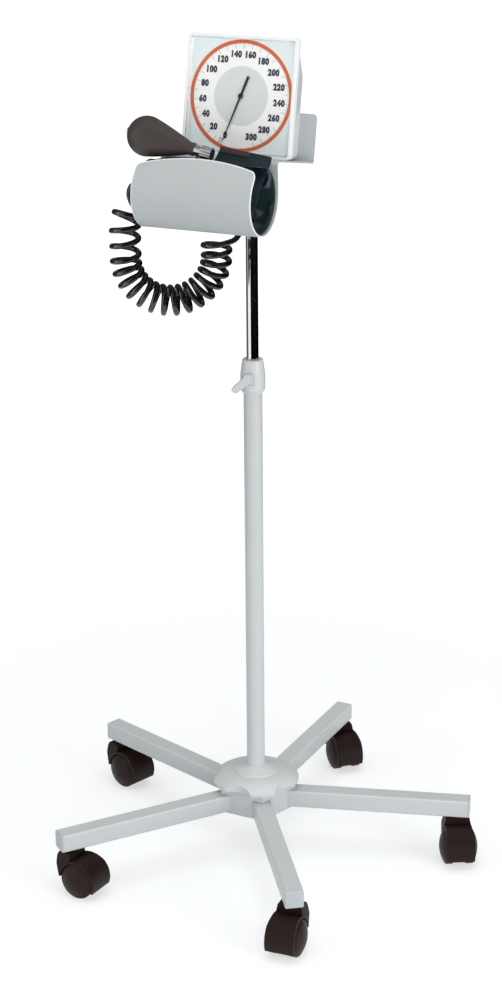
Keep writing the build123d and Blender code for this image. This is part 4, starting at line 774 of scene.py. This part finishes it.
# ---------------------------------------------------------------- trough's edge
# The trough's middle and its lip's outline, as distances forward, across and up
TROUGH = (139.5, 958.8)
EDGE_RADIUS = 43.1
EDGE_ACROSS = 79.0
EDGE_BEAD = 1.1
EDGE_ROUNDNESS = 3
EDGE_ANGLES = range(180, 398, 6)
LIP_ANGLE = 38.0
CORNER_ACROSS = 71.0
CORNER_HEIGHT = 990.75
CORNER_RADIUS = 8.0
CORNER_ANGLES = range(0, 78, 11)
ARCH_HEIGHT = 673.4
ARCH_RADIUS = 333.2
ARCH_PLACES = range(68, -69, -8)


def ring_point(radius, angle):
    return (TROUGH[0] + radius * cos(radians(angle)), TROUGH[1] + radius * sin(radians(angle)))


lip_foot = ring_point(EDGE_RADIUS, LIP_ANGLE)


def lip_point(x, height):
    return Vector((x, tan(radians(LIP_ANGLE)) * (height - lip_foot[1]) - lip_foot[0], height))


# The trough's cut edge, rounded over, and painted paler than its faces as a painted highlight
def trough_edge():
    side = []
    for angle in EDGE_ANGLES:
        forward, height = ring_point(EDGE_RADIUS, angle)
        side.append(Vector((EDGE_ACROSS, -forward, height)))
    for angle in CORNER_ANGLES:
        a = radians(angle)
        side.append(lip_point(CORNER_ACROSS + CORNER_RADIUS * cos(a), CORNER_HEIGHT + CORNER_RADIUS * sin(a)))
    arch = [lip_point(x, ARCH_HEIGHT + (ARCH_RADIUS ** 2 - x * x) ** 0.5) for x in ARCH_PLACES]
    other = [Vector((-p.x, p.y, p.z)) for p in reversed(side)]
    curve, run = new_curve("trough_edge", "POLY", [place * MM for place in side + arch + other])
    curve.bevel_depth = EDGE_BEAD * MM
    curve.bevel_resolution = EDGE_ROUNDNESS
    curve.use_fill_caps = True
    mesh = mesh_of_curve(curve)
    mesh.shade_smooth()
    finished(keep("trough_edge", mesh), edge_highlight_paint, "head", "painted_steel")


trough_edge()


# ---------------------------------------------------------------- cuff
# A sheet whose middle line is a list of (forward, height) points, run from one x to another.
# Its shape function gives how far a point moves off the sheet, across and up
def cloth_strip(name, line, span, thickness, columns, shape, finish):
    left, right = span
    count = len(line)
    lengths = [0]
    for before, after in zip(line, line[1:]):
        lengths.append(lengths[-1] + hypot(after[0] - before[0], after[1] - before[1]))
    points, faces, places = [], [], []
    for j in range(columns + 1):
        x = left + (right - left) * j / columns
        for i, (forward, height) in enumerate(line):
            before, after = line[max(i - 1, 0)], line[min(i + 1, count - 1)]
            run = Vector((after[0] - before[0], after[1] - before[1])).normalized()
            off, across, up = shape(x, i / (count - 1), lengths[i], forward, height)
            place = (x + across, -(forward + run.y * off), height - run.x * off + up)
            points.append(tuple(value * MM for value in place))
            places.append((x * MM, lengths[i] * MM))
    for j in range(columns):
        for i in range(count - 1):
            a = j * count + i
            faces.append((a, a + count, a + count + 1, a + 1))
    mesh = new_mesh(name, points, faces)
    layer = mesh.uv_layers.new(name="cloth")
    for loop in mesh.loops:
        layer.data[loop.index].uv = places[loop.vertex_index]
    mesh.shade_smooth()
    piece = keep(name, mesh)
    wall = piece.modifiers.new("wall", "SOLIDIFY")
    wall.thickness = thickness * MM
    wall.offset = 0
    soft = piece.modifiers.new("soft", "SUBSURF")
    soft.levels = 1
    soft.render_levels = 1
    applied(piece)
    piece.data.shade_smooth()
    finished(piece, finish, "head", "cuff_cloth", "cuff")
    return piece, lengths[-1]


def smooth_line(points, steps):
    curve, run = new_curve("line", "NURBS", [(*place, 0) for place in points])
    curve.resolution_u = steps
    run.order_u = 4
    run.use_endpoint_u = True
    return [(v.co.x, v.co.y) for v in mesh_of_curve(curve).vertices]


FINER_SHARE = 0.5
FINER_ACROSS = 2.1
FINER_ALONG = 2.3
FINER_SEED = 7


def wrinkle(x, y, size, seed):
    finer = Vector((x / size * FINER_ACROSS, y / size * FINER_ALONG, seed + FINER_SEED))
    return noise.noise(Vector((x / size, y / size, seed))) + FINER_SHARE * noise.noise(finer)


# The flap stands up behind the valve, crosses the trough to its front and goes down inside it
FLAP_SPAN = (8.5, 76.5)
FLAP_THICKNESS = 1.6
FLAP_COLUMNS = 60
FLAP_STEPS = 4
FLAP_TOP = [(109.5, 1020.0), (110.2, 1015.0), (113.2, 1006.0), (119.5, 996.5), (129.0, 988.0)]
FLAP_CROSSING = [(140.0, 979.0), (151.0, 966.5), (162.0, 953.0), (170.5, 944.0)]
FLAP_RING_RADIUS = 39.0
FLAP_RING_ANGLES = range(-40, -95, -15)
flap_ring = [ring_point(FLAP_RING_RADIUS, a) for a in FLAP_RING_ANGLES]
flap_line = smooth_line(FLAP_TOP + FLAP_CROSSING + flap_ring, FLAP_STEPS)

# The flap is held at its top, where it slopes down to the right, and loosens into folds below
FLAP_HELD = 6
FLAP_LOOSENING = 30
FOLD_SIZE = 21
FOLD_LENGTHENING = 0.6
FOLD_HELD = 0.7
FOLD_SEED = 3.0
PLEAT_DEPTH = 1.1
PLEAT_START = 12
PLEAT_WIDTH = 9.0
PLEAT_LEAN = 40
CREASE_DEPTH = 0.35
CREASE_SIZE = 5.5
CREASE_SEED = 1.0
TOP_LENGTH = 30
TOP_SLOPE = -9.0
TOP_SLOPE_START = 6.5
TOP_SLOPE_WIDTH = 70.5
TOP_DROP = 4.5
SPREAD_LEFT = -9.0
SPREAD_LENGTH = 34


def flap_shape(x, share, length, forward, height):
    free = clamped((length - FLAP_HELD) / FLAP_LOOSENING)
    off = wrinkle(x, length * FOLD_LENGTHENING, FOLD_SIZE, FOLD_SEED) * (free + FOLD_HELD)
    off += PLEAT_DEPTH * max(0, sin((x - PLEAT_START) / PLEAT_WIDTH + length / PLEAT_LEAN)) * free
    off += CREASE_DEPTH * wrinkle(x, length, CREASE_SIZE, CREASE_SEED)
    top = max(0, 1 - length / TOP_LENGTH)
    slope = TOP_SLOPE * (x - TOP_SLOPE_START) / TOP_SLOPE_WIDTH * top
    left = (FLAP_SPAN[1] - x) / (FLAP_SPAN[1] - FLAP_SPAN[0]) * min(length / SPREAD_LENGTH, 1)
    return (off, SPREAD_LEFT * left, slope - TOP_DROP * top)


cuff_flap, flap_length = cloth_strip(
    "cuff_cloth_flap", flap_line, FLAP_SPAN, FLAP_THICKNESS, FLAP_COLUMNS, flap_shape, FINISHES["cuff_cloth"],
)

LINING_THICKNESS = 1.2
LINING_COLUMNS = 84
LINING_STEPS = 6
LINING_RADIUS = 40.6
LINING_ANGLES = range(-62, -278, -15)
LINING_HEM = 0.1
LINING_RIGHT = 76.0
LINING_SETTLING = 14
RIDGE_SIZE = 24
RIDGE_ALONG = 0.7
RIDGE_ACROSS = 0.3
RIDGE_SEED = 9.0
RIDGE_NARROWING = 2.6
RIDGE_HEIGHT = 8.0
RIDGE_POWER = 1.6
lining_line = smooth_line([ring_point(LINING_RADIUS, a) for a in LINING_ANGLES], LINING_STEPS)


# Loose folds that stand in from the trough's wall, and lie down at the lining's edges
def lining_shape(x, share, length, forward, height):
    hem = min(share, 1 - share, LINING_HEM) / LINING_HEM
    ends = hem * clamped((LINING_RIGHT - x) / LINING_SETTLING)
    leaning = (x * RIDGE_ALONG + length * RIDGE_ACROSS, length * RIDGE_ALONG - x * RIDGE_ACROSS)
    ridge = 1 - abs(wrinkle(*leaning, RIDGE_SIZE, RIDGE_SEED)) * RIDGE_NARROWING
    return (RIDGE_HEIGHT * max(0, ridge) ** RIDGE_POWER * ends, 0.0, 0.0)


cuff_lining, lining_length = cloth_strip(
    "cuff_cloth_lining", lining_line, FLAP_SPAN, LINING_THICKNESS, LINING_COLUMNS, lining_shape, lining_cloth,
)

# The rolled part lies at the trough's left, an inner turn and an outer turn
ROLL_SPAN = (-76.0, 8.0)
ROLL_THICKNESS = 2.2
ROLL_COLUMNS = 50
ROLL_STEPS = 3
ROLL_INNER_RADIUS = 34.0
ROLL_INNER_ANGLES = range(330, 10, -16)
ROLL_OUTER_RADIUS = 39.2
ROLL_OUTER_ANGLES = range(0, -385, -16)
ROLL_SEED = 5.0
SWELL_HEIGHT = 4.6
SWELL_POWER = 3
SWELL_LEFT = -68
SWELL_LEFT_RAMP = 16
SWELL_RIGHT = -6
SWELL_RIGHT_RAMP = 14
inner_turn = [ring_point(ROLL_INNER_RADIUS, a) for a in ROLL_INNER_ANGLES]
outer_turn = [ring_point(ROLL_OUTER_RADIUS, a) for a in ROLL_OUTER_ANGLES]
roll_line = smooth_line(inner_turn + outer_turn, ROLL_STEPS)


# The roll swells up to the underside of the bulb's neck
def roll_shape(x, share, length, forward, height):
    along = clamped((x - SWELL_LEFT) / SWELL_LEFT_RAMP) * clamped((SWELL_RIGHT - x) / SWELL_RIGHT_RAMP)
    angle = atan2(height - TROUGH[1], forward - TROUGH[0])
    swell = SWELL_HEIGHT * along * max(0, sin(angle)) ** SWELL_POWER
    return (wrinkle(x, length, FOLD_SIZE, ROLL_SEED), 0.0, swell)


cuff_roll, roll_length = cloth_strip(
    "cuff_cloth_roll", roll_line, ROLL_SPAN, ROLL_THICKNESS, ROLL_COLUMNS, roll_shape, FINISHES["cuff_cloth"],
)

TAPE_SPAN = (9.3, 49.0)
TAPE_WIDTH = 10.5
TAPE_THICKNESS = 0.9
TAPE_COLUMNS = 30
TAPE_OFF = 1.5
flap_start = flap_line[0]
tape_line = [p for p in flap_line if hypot(p[0] - flap_start[0], p[1] - flap_start[1]) < TAPE_WIDTH]


# The tape lies on the flap's near side, along its top edge
def tape_shape(x, share, length, forward, height):
    off, across, up = flap_shape(x, share, length, forward, height)
    return (off - TAPE_OFF, across, up)


cuff_tape = cloth_strip(
    "cuff_edge_tape", tape_line, TAPE_SPAN, TAPE_THICKNESS, TAPE_COLUMNS, tape_shape, tape_brown,
)[0]


# ---------------------------------------------------------------- floor and world
# 1 for rays from the camera, off a shine or through a clear surface, and 0 for all that only light
def looked_at(tree):
    path = tree.nodes.new("ShaderNodeLightPath").outputs
    mirrored = maths(tree, "MAXIMUM", path["Is Glossy Ray"], path["Is Transmission Ray"])
    return maths(tree, "MAXIMUM", path["Is Camera Ray"], mirrored)


# A material's tree with nothing but its output in it
def bare_tree(made):
    made.use_nodes = True
    tree = made.node_tree
    tree.nodes.remove(tree.nodes["Principled BSDF"])
    return tree, tree.nodes["Material Output"].inputs["Surface"]


def square(reach, height):
    corners = [(-reach, -reach), (reach, -reach), (reach, reach), (-reach, reach)]
    return [(x, y, height) for x, y in corners]


FLOOR_REACH = 40
FLOOR_TONE = 0.5
FLOOR_TINT = (0.94, 0.98, 1)
FLOOR_GLOW_START = 0.7
FLOOR_GLOW_END = 3.0
FLOOR_GLOW_NEAR = 0.57
FLOOR_GLOW_FAR = 0.92
WORLD_LIGHT = 0.45
WORLD_SEEN = 1.0

floor_mesh = new_mesh("floor", square(FLOOR_REACH, 0), [(0, 1, 2, 3)])
floor = keep("floor", floor_mesh)
paper = bpy.data.materials.new("floor_paper")
tree, surface = bare_tree(paper)
lit = node(tree, "BsdfDiffuse", Color=(*[FLOOR_TONE * tint for tint in FLOOR_TINT], 1))
spot = tree.nodes.new("ShaderNodeTexCoord").outputs["Object"]
reach = node(tree, "VectorMath", {"operation": "LENGTH"}, i0=spot).outputs["Value"]
lift = node(
    tree, "MapRange", Value=reach, From_Min=FLOOR_GLOW_START, From_Max=FLOOR_GLOW_END,
    To_Min=FLOOR_GLOW_NEAR, To_Max=FLOOR_GLOW_FAR,
).outputs[0]
glow = node(tree, "Emission", Color=(1, 1, 1, 1), Strength=maths(tree, "MULTIPLY", looked_at(tree), lift))
both = node(tree, "AddShader", i0=lit.outputs[0], i1=glow.outputs[0])
tree.links.new(both.outputs[0], surface)
floor_mesh.materials.append(paper)

world = bpy.data.worlds.new("studio")
bpy.context.scene.world = world
world.use_nodes = True
tree = world.node_tree
back = tree.nodes["Background"]
back.inputs["Color"].default_value = (1, 1, 1, 1)
strength = maths(tree, "MULTIPLY_ADD", looked_at(tree), WORLD_SEEN - WORLD_LIGHT, WORLD_LIGHT)
tree.links.new(strength, back.inputs["Strength"])


# ---------------------------------------------------------------- lamps
def softbox(name, place, target, width, height, watts):
    data = bpy.data.lights.new(name, "AREA")
    data.shape = "RECTANGLE"
    data.size = width
    data.size_y = height
    data.energy = watts
    aim = (Vector(target) - Vector(place)).to_track_quat("-Z", "Y").to_matrix().to_4x4()
    keep(name, data).matrix_world = Matrix.Translation(place) @ aim


# Each lamp's name, place, target, width, height and watts
LAMPS = [
    ("key", (-2.2, -1.7, 1.3), (0, 0, 0.6), 1.0, 1.7, 11),
    ("fill", (1.8, -2.6, 1.1), (0, 0, 0.6), 1.2, 1.6, 14),
    ("top", (0.1, -0.1, 4.4), (0, 0, 0.5), 3.0, 3.0, 66),
    ("side", (2.5, -0.9, 0.8), (0, 0, 0.4), 1.0, 1.6, 30),
    ("low", (0.6, -2.5, 0.5), (0, 0, 0.05), 1.8, 0.7, 11),
]
for lamp in LAMPS:
    softbox(*lamp)

# ---------------------------------------------------------------- studio cards
CARD_DISTANCE = 1.5
CARD_FOOT = 0.02
CARD_TOP = 2.6
CARD_STEPS = 32
CEILING_REACH = 1.6
CEILING_HEIGHT = 2.7


# A card bent about the stand from one heading to another
def bent(first, last):
    points, faces = [], []
    for k in range(CARD_STEPS + 1):
        a = radians(first + (last - first) * k / CARD_STEPS)
        for z in (CARD_FOOT, CARD_TOP):
            points.append((CARD_DISTANCE * sin(a), -CARD_DISTANCE * cos(a), z))
    for k in range(CARD_STEPS):
        faces.append((2 * k, 2 * k + 1, 2 * k + 3, 2 * k + 2))
    return points, faces


# Only reflections see a card
def card(name, points, faces, tone):
    mesh = new_mesh(name, points, faces)
    piece = keep(name, mesh)
    felt = bpy.data.materials.new(name)
    tree, surface = bare_tree(felt)
    glow = node(tree, "Emission", Color=(tone, tone, tone, 1), Strength=1.0)
    tree.links.new(glow.outputs[0], surface)
    mesh.materials.append(felt)
    piece.visible_camera = False
    piece.visible_diffuse = False
    piece.visible_shadow = False
    piece.visible_transmission = False


card("dark_side", *bent(-8, 198), tone=0.002)
card("grey_side", *bent(-158, -60), tone=0.14)
card("grey_ceiling", square(CEILING_REACH, CEILING_HEIGHT), [(0, 1, 2, 3)], tone=0.2)
